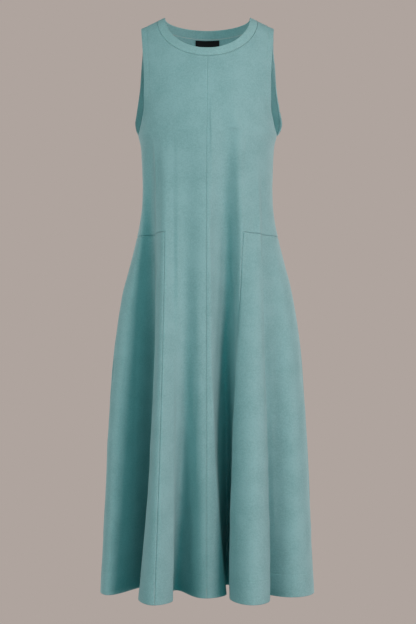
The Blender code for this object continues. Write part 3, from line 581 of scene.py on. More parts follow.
def spread_distances(side, columns):
    """The columns' and the seams' distances when they stand evenly round the underarm row."""
    seams, fine = side_seams(side), side_distances(side)
    share = underarm_shares(side, fine)
    middle = [len(columns.at) // 2] if side == BACK else [
        int(np.flatnonzero(columns.seam == 2)[len(BESIDE_SEAM)])]
    index = np.arange(len(columns.at))
    wanted = np.interp(index, [0, *middle, index[-1]], [0.0, 0.5, 1.0])
    evenly = np.interp(wanted, share, fine)
    order = np.argsort(columns.at)
    seam_place = np.interp(columns.seams, columns.at[order], evenly[order])
    if side == FRONT:
        seam_place[2] = seams[2]
    seam_place[0], seam_place[-1] = seams[0], seams[-1]
    return np.where(columns.interior, evenly, seam_place[columns.seam]), seam_place


# ---- neck and armholes


def neck_curve(side, count, half_width, drop):
    """x, z and eased angle of count + 1 points along a neck curve, from the left shoulder."""
    fine = np.pi * np.linspace(0.0, 1.0, NECK_SAMPLES)
    eased = fine - np.sin(2 * fine) / 2
    top = shoulder_line(half_width)
    x, z = -half_width * np.cos(eased), top - (drop + top) * np.sin(eased)
    run = distance_along(body_point(side, x, z))
    wanted = np.interp(np.linspace(0.0, run[-1], count + 1), run, eased)
    return -half_width * np.cos(wanted), top - (drop + top) * np.sin(wanted), wanted


SEAM_HALF_WIDTH = NECK_HALF_WIDTH + BAND_WIDTH * 0.93    # the neck at the neckband's seam


def top_edge(side, share):
    """x and z along the panels' upper edge: shoulder seam, neckband seam, shoulder seam."""
    shoulder = SHOULDER_SHARE[side]
    neck_x, neck_z, _ = neck_curve(side, NECK_SAMPLES - 1, SEAM_HALF_WIDTH,
                                   NECK_DROP[side] + BAND_WIDTH)
    neck_share = np.linspace(shoulder, 1 - shoulder, NECK_SAMPLES)
    at = np.concatenate(([0.0], neck_share, [1.0]))
    x = np.interp(share, at, np.concatenate(([-SHOULDER_HALF_WIDTH], neck_x,
                                             [SHOULDER_HALF_WIDTH])))
    on_neck = (share >= shoulder) & (share <= 1 - shoulder)
    return x, np.where(on_neck, np.interp(share, neck_share, neck_z), shoulder_line(x))


def armhole_angle(side, z):
    return oval_angle(side, -column_at(ARMHOLE, SIDE_WORD[side], z), z)


# ---- the grid of one side


class SideGrid:
    """Fine grid of points over the front or the back, from the shoulders to the hem.

    Columns run from left to right in the ring's order, so the back's run from the right
    side seam to the left one."""

    def __init__(self, side, even, effort):
        self.side = side
        self.columns = Columns(side, even, effort)
        self.spread, self.seam_spread = spread_distances(side, self.columns)
        names = [f.name for f in (FRONT_FOLDS if side == FRONT else BACK_FOLDS)]
        self.creases = [c for c in CREASES if c.fold in names]
        rows = self.upper_rows()
        self.underarm_row = len(rows)
        heights = self.torso_heights()
        self.hip_row = len(rows) + int(np.argmin(np.abs(heights - HIP_ROW - SEAM_GAP / 2)))
        lower = [self.lower_row(z) for z in heights]
        self.crease_runs = np.array([row[3] for row in lower])
        rows += [row[:3] for row in lower]
        self.points, self.runs, self.seam_runs = map(np.array, zip(*rows))
        steps = np.linalg.norm(np.diff(self.points, axis=0), axis=2)
        self.down = np.concatenate([np.zeros((1, steps.shape[1])), np.cumsum(steps, axis=0)])

    @staticmethod
    def torso_heights():
        """Heights of the rows from the underarm to the hem, closer beside what is sewn."""
        fan = np.array(BESIDE_SEAM)
        turn_up = -DRESS_LENGTH + TURN_UP
        reach = fan[-1]
        return np.concatenate([
            np.linspace(UNDERARM_Z, HIP_ROW + reach, TORSO_ROWS)[:-1], HIP_ROW + fan[::-1],
            HIP_ROW - fan,
            np.linspace(HIP_ROW - reach, turn_up + reach, SKIRT_ROWS)[1:-1],
            turn_up + fan[::-1], turn_up - fan,
            np.linspace(turn_up - reach, -DRESS_LENGTH + reach, TURN_UP_ROWS)[1:-1],
            -DRESS_LENGTH + fan[::-1],
        ])

    def lower_row(self, z):
        """One row at or below the underarm: points, then runs of columns, seams and creases."""
        columns = self.columns
        up = ramp(z, HIP_ROW + BESIDE_SEAM[-1], UNDERARM_Z)
        at = columns.at + (self.spread - columns.at) * up
        seams = columns.seams + (self.seam_spread - columns.seams) * up
        fine, line = eased_line(columns.seams[0], columns.seams[-1], z)
        run = distance_along(line)
        seam_runs = np.interp(seams, fine, run)
        runs = columns.place(np.interp(at, fine, run), seam_runs)
        crease_runs = np.interp([KNOT_OF[c.fold] for c in self.creases], fine, run)
        return points_at(runs, run, line), runs, seam_runs, crease_runs

    def upper_rows(self):
        """Rows above the underarm, from the shoulder and neckband seams downwards."""
        side = self.side
        share = np.linspace(0.0, 1.0, TOP_SAMPLES)
        column_share = underarm_shares(side, self.spread)
        seam_share = underarm_shares(side, self.seam_spread)
        fine = side_distances(side)
        distance = np.interp(share, underarm_shares(side, fine), fine)
        bottom = skirt_points(distance, UNDERARM_Z)
        order = slice(None) if side == FRONT else slice(None, None, -1)
        low_angle = oval_angle(side, bottom[:, 0], UNDERARM_Z)
        top_x, top_z = top_edge(side, share)
        top_x, top_z = top_x[order], top_z[order]
        top_angle = oval_angle(side, top_x, top_z)
        top_run = distance_along(body_point(side, top_x, top_z))
        low_run = distance_along(bottom)
        steps = np.concatenate((np.arange(1, UPPER_ROWS), UPPER_ROWS - np.array(
            BESIDE_SHOULDER[::-1]), [UPPER_ROWS]))
        rows = []
        for step in steps:
            share_up = step / UPPER_ROWS
            up = share_up - ROW_CROWDING * np.sin(2 * np.pi * share_up) / (2 * np.pi)
            z = UNDERARM_Z + (top_z - UNDERARM_Z) * up
            angle = low_angle + (top_angle - low_angle) * up
            ends = (armhole_angle(side, z[0]), np.pi - armhole_angle(side, z[-1]))
            ends = ends if side == FRONT else (np.pi - ends[0], np.pi - ends[1])
            angle = ends[0] + (angle - angle[0]) * (ends[1] - ends[0]) / (angle[-1] - angle[0])
            line_x = oval_x(side, angle, z)
            run = distance_along(self.upper_points(line_x, z, distance))
            even = (low_run / low_run[-1] * (1 - up) + top_run / top_run[-1] * up) * run[-1]
            natural = even + (run - even) * up ** 3
            seam_runs = np.interp(seam_share, share, natural)
            runs = self.columns.place(np.interp(column_share, share, natural), seam_runs)
            x, height = np.interp(runs, run, line_x), np.interp(runs, run, z)
            points = self.upper_points(x, height, np.interp(runs, run, distance))
            rows.append((points, runs, seam_runs))
        return rows[::-1]

    def upper_points(self, x, z, distance):
        """Skin above the underarm, with the folds that already start there."""
        points = body_point(self.side, x, z)
        _, forwards = fold_travel(closed_spline_weights(KNOTS, HEM_ROUND, distance), z)
        points[:, 1] += forwards
        return points

    def column(self, name):
        """First column after a seam line."""
        near = self.columns.seam == SEAM_LINES[self.side].index(name)
        return int(np.flatnonzero(near & (self.columns.offset > 0))[0])


def grid_quads(index, closed=False):
    """Quads of a grid of point numbers, wound to face outwards."""
    if closed:
        index = np.concatenate([index, index[:, :1]], axis=1)
    a, b = index[:-1, :-1], index[1:, :-1]
    c, d = index[1:, 1:], index[:-1, 1:]
    return np.stack([a, b, c, d], axis=-1).reshape(-1, 4)


def outward(points, quads):
    """Outward unit direction at every point of a mesh of quads."""
    a, b, c, d = (points[quads[:, k]] for k in range(4))
    area = np.cross(c - a, d - b)
    total = np.zeros_like(points)
    for k in range(4):
        np.add.at(total, quads[:, k], area)
    length = np.linalg.norm(total, axis=1)
    return total / np.maximum(length, 1e-12)[:, None]


# ---- relief


def groove(distance):
    """Height of the cloth at a distance from a seam: rolled in, with a soft ridge beside."""
    return (RIDGE_HEIGHT * bump(distance - RIDGE_DISTANCE, RIDGE_HALF_WIDTH)
            - GROOVE_DEPTH * bump(distance, GROOVE_HALF_WIDTH))


def edge_round(distance, wall):
    """How far a folded free edge has turned in at a distance from it."""
    t = np.clip(distance / (wall / 2), 0.0, 1.0)
    return wall / 2 * (1 - np.sqrt(1 - (1 - t) ** 2))


def beyond(value):
    return np.maximum(value, 0.0)


def extreme(a, b):
    """The deeper of two grooves, or else the higher of two ridges."""
    return np.where(np.minimum(a, b) < 0, np.minimum(a, b), np.maximum(a, b))


def from_armholes(grid):
    """Distance of the skin from the edge of the armhole at each end of its rows."""
    under = beyond(UNDERARM_Z - grid.points[:, :, 2])
    return (np.hypot(grid.runs - grid.runs[:, :1], under),
            np.hypot(grid.runs[:, -1:] - grid.runs, under))


def seam_relief(grid):
    """Roll of the cloth along every sewn line of one side."""
    z, runs = grid.points[:, :, 2], grid.runs
    names = SEAM_LINES[grid.side]
    below = -beyond(z - UNDERARM_Z)
    hip_z = z[grid.hip_row] - SEAM_GAP / 2
    relief = np.zeros_like(z)
    for k, name in enumerate(names):
        across = np.abs(runs - grid.seam_runs[:, k:k + 1])
        if "side seam" in name:
            relief = extreme(relief, groove(np.hypot(across, below)))
        elif name == "centre front seam":
            relief = extreme(relief, FAINT_SEAM * groove(across))
        else:
            relief = extreme(relief, groove(np.hypot(across, beyond(z - hip_z))))
    inside = np.minimum(runs - grid.seam_runs[:, 1:2], grid.seam_runs[:, -2:-1] - runs)
    relief = extreme(relief, groove(np.hypot(z - hip_z, beyond(inside))))
    return extreme(relief, groove(grid.down))


def free_edges(grid, wall):
    """Turn of the folded edges at the armholes and the hem."""
    hem = grid.down[-1:] - grid.down
    return edge_round(np.minimum(*from_armholes(grid)), wall) + edge_round(hem, wall)


def crease_relief(grid):
    """Pressed creases along the fold lines, a little uneven along their length."""
    relief = np.zeros(grid.runs.shape)
    start = grid.underarm_row
    z, runs = grid.points[start:, :, 2], grid.runs[start:]
    for k, crease in enumerate(grid.creases):
        across = runs - grid.crease_runs[:, k:k + 1]
        fade = (ramp(z, crease.start, crease.start - CREASE_FADE_IN)
                * ramp(z, crease.end, crease.end + CREASE_FADE_OUT))
        uneven = 1 + 0.22 * np.sin(z * 41 + k) + 0.13 * np.sin(z * 97 + 2 * k)
        relief[start:] += crease.height * fade * uneven * bump(across, crease.half_width)
    return relief


def swell_relief(grid):
    """Drag lines, swells and puckers of the table."""
    x, z = grid.points[:, :, 0], grid.points[:, :, 2]
    relief = np.zeros_like(x)
    for s in SWELLS:
        if s.side == grid.side:
            turn = np.radians(s.turn)
            along = (x - s.x) * np.cos(turn) + (z - s.z) * np.sin(turn)
            bow = SWELL_BOW * along ** 2 / s.half_length
            across = (z - s.z) * np.cos(turn) - (x - s.x) * np.sin(turn) - bow
            relief += s.height * bump(along, s.half_length) * bump(across, s.half_width)
    return relief


def wave_relief(grid):
    """Broad, faint unevenness of cloth that hangs by itself."""
    z, runs = grid.points[:, :, 2], grid.runs
    low = ramp(z, UNDERARM_Z, FULL_WAVES)
    slow = np.sin(runs * 38 + z * 9 + grid.side) * np.sin(z * 17 + runs * 5 + 1.3)
    quick = np.sin(runs * 83 - z * 14) * np.sin(z * 31 + 0.6 * grid.side)
    return ((SLOW_WAVE[0] + SLOW_WAVE[1] * low) * slow
            + (QUICK_WAVE[0] + QUICK_WAVE[1] * low) * quick)


def topstitch_relief(grid):
    """Soft trough under the topstitching beside the armholes."""
    return -STITCH_DENT * sum(bump(inset - STITCH_INSET, STITCH_DENT_HALF_WIDTH)
                              for inset in from_armholes(grid))


def hem_relief(grid):
    """Line of the blind hem stitches, pulled in a little unevenly."""
    z = grid.points[:, :, 2]
    uneven = 0.75 + 0.25 * np.sin(grid.runs * 2 * np.pi / 0.031)
    line = bump(z + DRESS_LENGTH - TURN_UP, HEM_LINE_HALF_WIDTH)
    return -HEM_LINE_DEPTH * uneven * line


# ---- meshes


def border(quads):
    """Edges with a face on one side only, in that face's direction."""
    edges = np.concatenate([quads[:, [k, (k + 1) % 4]] for k in range(4)])
    size = int(quads.max()) + 1
    key, back = edges[:, 0] * size + edges[:, 1], edges[:, 1] * size + edges[:, 0]
    return edges[~np.isin(key, back)]


def add_object(name, data, location=(0, 0, 0)):
    thing = bpy.data.objects.new(name, data)
    thing.location = location
    bpy.context.scene.collection.objects.link(thing)
    return thing


def add_mesh(name, points, faces, material):
    mesh = bpy.data.meshes.new(name)
    mesh.from_pydata(points, [], faces)
    mesh.materials.append(material)
    mesh.shade_smooth()
    return add_object(name, mesh)


def add_shell(name, outer, inner, quads, material):
    """Closed cloth of two layers joined round the border."""
    used = np.unique(quads)
    place = np.zeros(int(used.max()) + 1, int)
    place[used] = np.arange(len(used))
    shell = place[quads]
    count = len(used)
    rim = border(shell)
    rim = np.column_stack([rim[:, 1], rim[:, 0], rim[:, 0] + count, rim[:, 1] + count])
    faces = np.concatenate([shell, shell[:, ::-1] + count, rim])
    points = np.concatenate([outer[used], inner[used]])
    return add_mesh(name, points.tolist(), faces.tolist(), material)


def fit_piece(piece, slot, *nodes):
    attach(piece, "root")
    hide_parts(*nodes)
    return piece


# ---- panels


def panel_masks(grid):
    """For each panel of a side, which cells of the grid belong to it."""
    rows, cols = grid.points.shape[0] - 1, grid.points.shape[1] - 1
    above = np.arange(rows)[:, None] < grid.hip_row
    at_hip = np.arange(rows)[:, None] == grid.hip_row
    column = np.arange(cols)[None, :]
    if grid.side == FRONT:
        left, middle, right = (grid.column(n) for n in SEAM_LINES[FRONT][1:4])
        gap = column == middle - 1
        inside = (column >= left) & (column < right - 1)
        halves = {"front_left": column < middle - 1, "front_right": column >= middle}
        masks = {name: half & ~gap & (above | inside) for name, half in halves.items()}
        masks["side_front_left"] = ~above & ~at_hip & (column < left - 1)
        masks["side_front_right"] = ~above & ~at_hip & (column >= right)
        return masks
    left, right = grid.column("left back seam"), grid.column("right back seam")
    return {
        "back": above | ((column >= right) & (column < left - 1)),
        "side_back_right": ~above & ~at_hip & (column < right - 1),
        "side_back_left": ~above & ~at_hip & (column >= left),
    }


def add_panels(grids, points, normals, material):
    """The seven panels, each a closed shell cut from its side's grid."""
    pieces = {}
    for grid, index in grids:
        wall = np.where(grid.points[:, :, 2] > -DRESS_LENGTH + TURN_UP, WALL, HEM_WALL)
        turn = free_edges(grid, wall)
        relief = seam_relief(grid) + hem_relief(grid) + topstitch_relief(grid) - turn
        form = crease_relief(grid) + swell_relief(grid) + wave_relief(grid)
        form *= ramp(grid.down, 0.0, TOP_FADE)
        flat = index.reshape(-1)
        outer, inner = points.copy(), points.copy()
        outer[flat] += normals[flat] * (relief + form).reshape(-1, 1)
        inner[flat] -= normals[flat] * (wall - turn - form).reshape(-1, 1)
        quads = grid_quads(index)
        for name, mask in panel_masks(grid).items():
            piece = add_shell(name + "_cloth", outer, inner, quads[mask.reshape(-1)], material)
            pieces[name] = fit_piece(piece, "crepe_knit", name)
    return pieces


# ---- neckband


def band_points(side, share):
    """Points round one side of the neck at a share of the band's width above its seam."""
    seam_drop = NECK_DROP[side] + BAND_WIDTH
    _, _, eased = neck_curve(side, BAND_COLUMNS[side], SEAM_HALF_WIDTH, seam_drop)
    half = SEAM_HALF_WIDTH + (NECK_HALF_WIDTH - SEAM_HALF_WIDTH) * share
    top = shoulder_line(half)
    line = body_point(side, -half * np.cos(eased),
                      top - (seam_drop - BAND_WIDTH * share + top) * np.sin(eased))
    return line if side == FRONT else line[::-1]


def add_neckband(material):
    """Band folded double round the neck: soft crown, rolled in at its seam."""
    fan, from_edge = np.array(BESIDE_SEAM), np.array((0.0012, 0.0008, 0.0005, 0.0002, 0.0))
    from_seam = np.concatenate((fan + SEAM_GAP,
                                np.linspace(fan[-1], BAND_WIDTH - from_edge[0], 10)[1:],
                                BAND_WIDTH - from_edge[1:]))[::-1]
    points = np.array([np.concatenate([band_points(side, distance / BAND_WIDTH)[:-1]
                                       for side in (FRONT, BACK)]) for distance in from_seam])
    index = np.arange(points[:, :, 0].size).reshape(points.shape[:2])
    quads = grid_quads(index, closed=True)
    flat = points.reshape(-1, 3)
    normals = outward(flat, quads)
    across = np.repeat(from_seam, points.shape[1])
    turn = edge_round(BAND_WIDTH - across, WALL)
    crown = CROWN * np.sin(np.pi * np.clip(across / BAND_WIDTH, 0, 1)) ** 0.7
    outer = flat + normals * (crown + groove(across) - turn)[:, None]
    inner = flat - normals * (WALL - turn)[:, None]
    piece = add_shell("neckband_cloth", outer, inner, quads, material)
    return fit_piece(piece, "crepe_knit_trim", "neckband")


# ---- armholes


CHEST_MIDDLE = (0.0, 0.0, -0.200)       # the skin round the armholes faces away from it


def closed_line(points):
    """The line with its first point again at the end, and the run of every point."""
    line = np.concatenate([points, points[:1]])
    return line, distance_along(line)


def armhole_path(grids, left):
    """Evenly spaced points round one armhole's edge."""
    (front, _), (back, _) = grids
    ahead = front.points[:front.underarm_row + 1, 0 if left else -1]
    behind = back.points[:back.underarm_row, -1 if left else 0]
    path = np.concatenate([ahead[::-1], behind[1:]])
    line, run = closed_line(path if left else path[::-1])
    return points_at(np.linspace(0.0, run[-1], BINDING_COLUMNS, endpoint=False), run, line)


def on_skin(tree, points):
    """Nearest points of the skin, and its outward direction there."""
    found = [tree.find_nearest(p)[:2] for p in points]
    places, normals = (np.array(column) for column in zip(*found))
    away = np.sum(normals * (places - CHEST_MIDDLE), axis=1)
    return places, normals * np.sign(away)[:, None]


def smooth_round(values):
    for _ in range(4):
        values = (np.roll(values, 1, axis=0) + 2 * values + np.roll(values, -1, axis=0)) / 4
    return values


def inset_line(tree, path, inset):
    """The line that keeps a distance from the armhole's edge, on the skin."""
    _, normals = on_skin(tree, path)
    normals = smooth_round(normals)
    way = np.roll(path, -1, axis=0) - np.roll(path, 1, axis=0)
    inwards = np.cross(smooth_round(way), normals)
    inwards /= np.linalg.norm(inwards, axis=1)[:, None]
    line, found = on_skin(tree, path + inwards * inset)
    found = smooth_round(found)
    return line, found / np.linalg.norm(found, axis=1)[:, None]


# Lines of the binding's grid, as distances from the armhole's edge.
BINDING_INSETS = np.array((0.0006, 0.0008, 0.0012, 0.0020, 0.0040, 0.0070, 0.0098, 0.0114,
                           0.0124, 0.0128, 0.0131, 0.0134, BINDING_WIDTH))


def add_binding(node, tree, path, material):
    """Strip of knit turned in round an armhole, under the panels' edge."""
    near, insets = WALL + SEAM_GAP, BINDING_INSETS
    lines = [inset_line(tree, path, inset) for inset in insets]
    points = np.concatenate([line for line, _ in lines])
    normals = np.concatenate([found for _, found in lines])
    index = np.arange(len(points)).reshape(len(insets), -1)
    quads = grid_quads(index, closed=True)
    inset = np.repeat(insets, len(path))
    turn = edge_round(np.minimum(inset - insets[0], insets[-1] - inset), BINDING_WALL) * 0.8
    outer = points - normals * (near + turn)[:, None]
    inner = points - normals * (near + BINDING_WALL - turn)[:, None]
    piece = add_shell(node + "_strip", outer, inner, quads, material)
    return fit_piece(piece, "crepe_knit_trim", node)


def add_stitches(name, line, normals, lift, material):
    """Short rounded stitches of sewing thread along a closed line."""
    line, run = closed_line(line)
    ways = np.concatenate([normals, normals[:1]])
    count = int(run[-1] / STITCH_PITCH)
    fatness = (0.45, 0.9, 1.0, 0.9, 0.45)       # the thread thins where it dives in
    rings, sides = len(fatness), 6
    turn = 2 * np.pi * np.arange(sides) / sides
    points, faces = [], []
    for middle in (np.arange(count) + 0.5) * run[-1] / count:
        spine = points_at(middle + STITCH_LENGTH * np.linspace(-0.5, 0.5, rings), run, line)
        up = points_at(middle, run, ways)[0]
        across = np.cross(spine[-1] - spine[0], up)
        across /= np.linalg.norm(across)
        first = len(points)
        for centre, fat in zip(spine, fatness):
            sink = STITCH_DIVE * (1 - fat)
            for t in turn:
                round_way = across * np.cos(t) + up * np.sin(t)
                points.append(centre + up * (lift - sink) + round_way * THREAD_RADIUS * fat)
        for r in range(rings - 1):
            for k in range(sides):
                a, b = first + r * sides + k, first + r * sides + (k + 1) % sides
                faces.append((a, b, b + sides, a + sides))
        end = range(first, first + sides)
        faces += [tuple(end)[::-1], tuple(k + (rings - 1) * sides for k in end)]
    piece = add_mesh(name, [tuple(p) for p in points], faces, material)
    return fit_piece(piece, "crepe_knit_trim")


def add_armholes(grids, points, trim, thread):
    """Both bindings and the topstitching that holds them, outside and inside."""
    quads = np.concatenate([grid_quads(index) for _, index in grids])
    tree = BVHTree.FromPolygons(points.tolist(), quads.tolist())
    pieces, sewn_on = {}, {}
    for word in ("left", "right"):
        path = armhole_path(grids, word == "left")
        line, normals = inset_line(tree, path, STITCH_INSET)
        node = "armhole_binding_" + word
        pieces[node] = add_binding(node, tree, path, trim)
        sewn_on[node] = [
            add_stitches("armhole_topstitch_" + word, line, normals, -STITCH_DENT, thread),
            add_stitches("armhole_stitches_inside_" + word, line, -normals,
                         WALL + SEAM_GAP + BINDING_WALL, thread)]
    return pieces, sewn_on


# ---- cut of the cloth

# Each piece as it lies flat before sewing, in metres and square metres. The neckband is
# stated as folded double, and the two sides of the dress are cut alike.
CUTS = table(
    "node width length area hangs_from",
    ("front_left", 0.300, 1.170, 0.190, ("neckband", "back")),
    ("front_right", 0.300, 1.170, 0.190, ("neckband", "back")),
    ("side_front_left", 0.410, 0.760, 0.204, ("front_left",)),
    ("side_front_right", 0.410, 0.760, 0.204, ("front_right",)),
    ("side_back_left", 0.225, 0.760, 0.120, ("back",)),
    ("side_back_right", 0.225, 0.760, 0.120, ("back",)),
    ("back", 0.660, 1.210, 0.435, ("neckband",)),
    ("neckband", 0.0172, 0.612, 0.0105, ("back", "front_left", "front_right")),
    ("armhole_binding_left", 0.0136, 0.538, 0.0073, ("back", "front_left")),
    ("armhole_binding_right", 0.0136, 0.538, 0.0073, ("back", "front_right")),
    ("label", 0.052, 0.0135, 0.0007, ("neckband",)),
)


# ---- label


def add_label(material):
    """Bare woven label behind the neck, caught in the neckband seam, its sides folded under."""
    low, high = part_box("label")
    seam_x, seam_z, _ = neck_curve(BACK, 200, SEAM_HALF_WIDTH, NECK_DROP[BACK] + BAND_WIDTH)
    across = np.linspace(low[0], high[0], 53)
    top = np.interp(across, seam_x, seam_z)
    top += high[2] - top.max()
    height = top.min() - low[2]
    share = np.linspace(0.0, 1.0, 25)[:, None]
    x = np.repeat(across[None, :], len(share), axis=0)
    points = body_point(BACK, x, top[None, :] - height * share)
    quads = grid_quads(np.arange(x.size).reshape(x.shape)[:, ::-1])
    flat = points.reshape(-1, 3)
    normals = outward(flat, quads)
    half = (high[0] - low[0]) / 2
    to_side = (half - np.abs(x - (low[0] + high[0]) / 2)).reshape(-1)
    down = np.repeat(share, len(across))
    turn = edge_round(np.minimum(to_side, np.minimum(down, 1 - down) * height), LABEL_WALL)
    fold = LABEL_FOLD_RISE * bump(to_side - LABEL_FOLD, LABEL_FOLD_HALF_WIDTH)
    belly = LABEL_BELLY * ramp(to_side, 0.0, 0.018) * np.sin(np.pi * down)
    near = WALL + SEAM_GAP
    outer = flat - normals * (near + turn + belly)[:, None]
    inner = flat - normals * (near + LABEL_WALL - turn + belly + fold)[:, None]
    piece = add_shell("label_ribbon", outer, inner, quads, material)
    return fit_piece(piece, "woven_label", "label")


# ---- materials


def linear(hex_colour):
    """sRGB hex to a linear colour with alpha."""
    parts = [int(hex_colour[k:k + 2], 16) / 255 for k in (1, 3, 5)]
    return (*[p / 12.92 if p <= 0.04045 else ((p + 0.055) / 1.055) ** 2.4 for p in parts], 1.0)


def add_node(tree, kind, settings=(), links=()):
    """Add a node, set its properties and sockets, and link its sockets to other nodes."""
    node = tree.nodes.new(kind)
    for key, value in dict(settings).items():
        if isinstance(key, int) or key in node.inputs:
            node.inputs[key].default_value = value
        else:
            setattr(node, key, value)
    for key, source in dict(links).items():
        tree.links.new(source, node.inputs[key])
    return node


def object_place(tree):
    return add_node(tree, "ShaderNodeTexCoord").outputs["Object"]


def noise(tree, place, size, **settings):
    """Soft random pattern with features of about one size in metres."""
    return add_node(tree, "ShaderNodeTexNoise", {"Scale": 1 / size, **settings},
                    {"Vector": place}).outputs["Fac"]


def add_bump(tree, shader, height, strength, distance):
    bumps = add_node(tree, "ShaderNodeBump", {"Strength": strength, "Distance": distance},
                     {"Height": height})
    tree.links.new(bumps.outputs["Normal"], shader.inputs["Normal"])


def new_material(name, colour, roughness):
    material = bpy.data.materials.new(name)
    material.use_nodes = True
    shader = material.node_tree.nodes["Principled BSDF"]
    shader.inputs["Base Color"].default_value = linear(colour)
    shader.inputs["Roughness"].default_value = roughness
    shader.inputs["Metallic"].default_value = 0.0
    return material, shader


KNIT_PEBBLE = 0.0013        # the crepe's pebbles, really 0.5 mm, drawn coarser to be seen
KNIT_COURSE = 0.0019        # height of the faint rows across, likewise drawn coarser
KNIT_FLECK = 0.0030         # flecks where the crepe yarns bunch, drawn coarser to be seen
FLECK_SHARE = 0.55          # how much of the colour's range the flecks take
DYE_PATCH = 0.045           # size of the faint lighter and darker patches


def crepe_knit(name, colour, shade):
    """Polyester crepe knit, dyed teal: matt, pebbled, with a slight soft bloom at the edges."""
    material, shader = new_material(name, colour, 0.86)
    tree = material.node_tree
    place = object_place(tree)
    patches = noise(tree, place, DYE_PATCH, Detail=3.0)
    flecks = noise(tree, place, KNIT_FLECK, Detail=3.0, Roughness=0.7)
    spread = add_node(tree, "ShaderNodeMapRange", {"From Min": 0.35, "From Max": 0.65},
                      {"Value": flecks})
    blend = add_node(tree, "ShaderNodeMath", {"operation": "MULTIPLY_ADD", 1: FLECK_SHARE},
                     {0: spread.outputs["Result"], 2: patches})
    dye = add_node(tree, "ShaderNodeMix", {"data_type": "RGBA", 6: linear(shade),
                                           7: linear(colour)}, {"Factor": blend.outputs[0]})
    tree.links.new(dye.outputs[2], shader.inputs["Base Color"])
    pebbles = noise(tree, place, KNIT_PEBBLE, Detail=2.0)
    squeeze = add_node(tree, "ShaderNodeMapping", {"Scale": (0.18, 0.18, 1.0)},
                       {"Vector": place})
    courses = noise(tree, squeeze.outputs["Vector"], KNIT_COURSE, Detail=1.0)
    height = add_node(tree, "ShaderNodeMath", {"operation": "ADD"}, {0: pebbles, 1: courses})
    add_bump(tree, shader, height.outputs["Value"], 0.30, 0.0008)
    shader.inputs["Sheen Weight"].default_value = 0.12
    shader.inputs["Sheen Roughness"].default_value = 0.5
    shader.inputs["IOR"].default_value = 1.45
    shader.inputs["Specular IOR Level"].default_value = 0.25
    return material


def sewing_thread(name, colour):
    """Spun polyester thread, dyed to match, a touch smoother than the knit."""
    material, shader = new_material(name, colour, 0.6)
    shader.inputs["IOR"].default_value = 1.5
    return material


RIBBON_RIB = 0.0011         # ribs of the label's satin ribbon, really 0.2 mm, drawn coarser


def woven_ribbon(name, colour):
    """Black polyester satin ribbon: fine ribs across, with a low dull shine."""
    material, shader = new_material(name, colour, 0.6)
    tree = material.node_tree
    ribs = add_node(tree, "ShaderNodeTexWave", {"bands_direction": "Z", "Distortion": 0.6,
                                                "Scale": 0.314 / RIBBON_RIB},
                    {"Vector": object_place(tree)})
    add_bump(tree, shader, ribs.outputs["Fac"], 0.25, 0.0002)
    shader.inputs["IOR"].default_value = 1.5
    shader.inputs["Specular IOR Level"].default_value = 0.2
    return material


# ---- camera, light and stage

CAMERA_DISTANCE = 3.0
CAMERA_X, CAMERA_Z = 0.001, -0.6125
PIXELS_PER_UNIT_SLOPE = 1440
IMAGE_HEIGHT = 624


def add_camera():
    camera = bpy.data.cameras.new("camera")
    camera.sensor_width = 36.0
    camera.lens = PIXELS_PER_UNIT_SLOPE / IMAGE_HEIGHT * camera.sensor_width
    camera.dof.use_dof = False
    holder = add_object("camera", camera, (CAMERA_X, -CAMERA_DISTANCE, CAMERA_Z))
    holder.rotation_euler = (np.pi / 2, 0.0, 0.0)
    bpy.context.scene.camera = holder


SOFTBOXES = table(
    "name azimuth height distance width tall power colour",
    ("key_softbox", 38, -0.50, 3.0, 0.9, 2.4, 50, "#FFCECC"),
    ("key_side_softbox", 62, -0.50, 3.0, 0.9, 2.4, 28, "#FFD6D4"),
    ("front_softbox", 12, -0.50, 3.0, 0.9, 2.4, 8, "#7AFFFF"),
    ("front_left_softbox", -35, -0.50, 3.0, 0.9, 2.4, 14, "#F0F8F4"),
    ("left_softbox", -60, -0.50, 3.0, 0.9, 2.4, 17, "#FFD4D4"),
    ("left_side_softbox", -85, -0.50, 3.0, 0.9, 2.4, 22, "#FFD8D6"),
    ("overhead_softbox", 10, 2.20, 1.6, 1.6, 1.6, 21, "#FFECEA"),
    ("back_right_softbox", 142, -0.50, 3.0, 1.2, 2.4, 48, "#FFE4E2"),
    ("back_left_softbox", -146, -0.50, 3.0, 1.2, 2.4, 34, "#FFE8E6"),
)
HOLLOW_FILL_PLACE = (0.0, -0.010, -0.190)
HOLLOW_FILL_POWER = 0.12
HOLLOW_FILL_RADIUS = 0.05
AIR_LIGHT = 0.10


def add_light(name, kind, power, colour, location):
    light = bpy.data.lights.new(name, kind)
    light.energy, light.color = power, linear(colour)[:3]
    holder = add_object(name, light, location)
    holder.visible_camera = False
    return holder


def add_softboxes():
    """Tall soft lights round the dress. Azimuth runs from the camera's side towards +X."""
    for s in SOFTBOXES:
        turn = np.radians(s.azimuth)
        holder = add_light(s.name, "AREA", s.power, s.colour, (
            s.distance * np.sin(turn), -s.distance * np.cos(turn), s.height))
        holder.data.shape = "RECTANGLE"
        holder.data.size, holder.data.size_y = s.width, s.tall
        aim = Vector((0, 0, CAMERA_Z)) - holder.location
        holder.rotation_mode = "QUATERNION"
        holder.rotation_quaternion = aim.to_track_quat("-Z", "Y")


def add_hollow_fill():
    """Soft light inside the torso, for the lit linings seen through neck and armholes."""
    holder = add_light("hollow_fill", "POINT", HOLLOW_FILL_POWER, "#F4FFFE",
                       HOLLOW_FILL_PLACE)
    holder.data.shadow_soft_size = HOLLOW_FILL_RADIUS


def add_world():
    """Faint even light from all round."""
    world = bpy.data.worlds.new("studio_air")
    bpy.context.scene.world = world
    world.use_nodes = True
    background = world.node_tree.nodes["Background"]
    background.inputs["Color"].default_value = linear("#30FFFF")
    background.inputs["Strength"].default_value = AIR_LIGHT


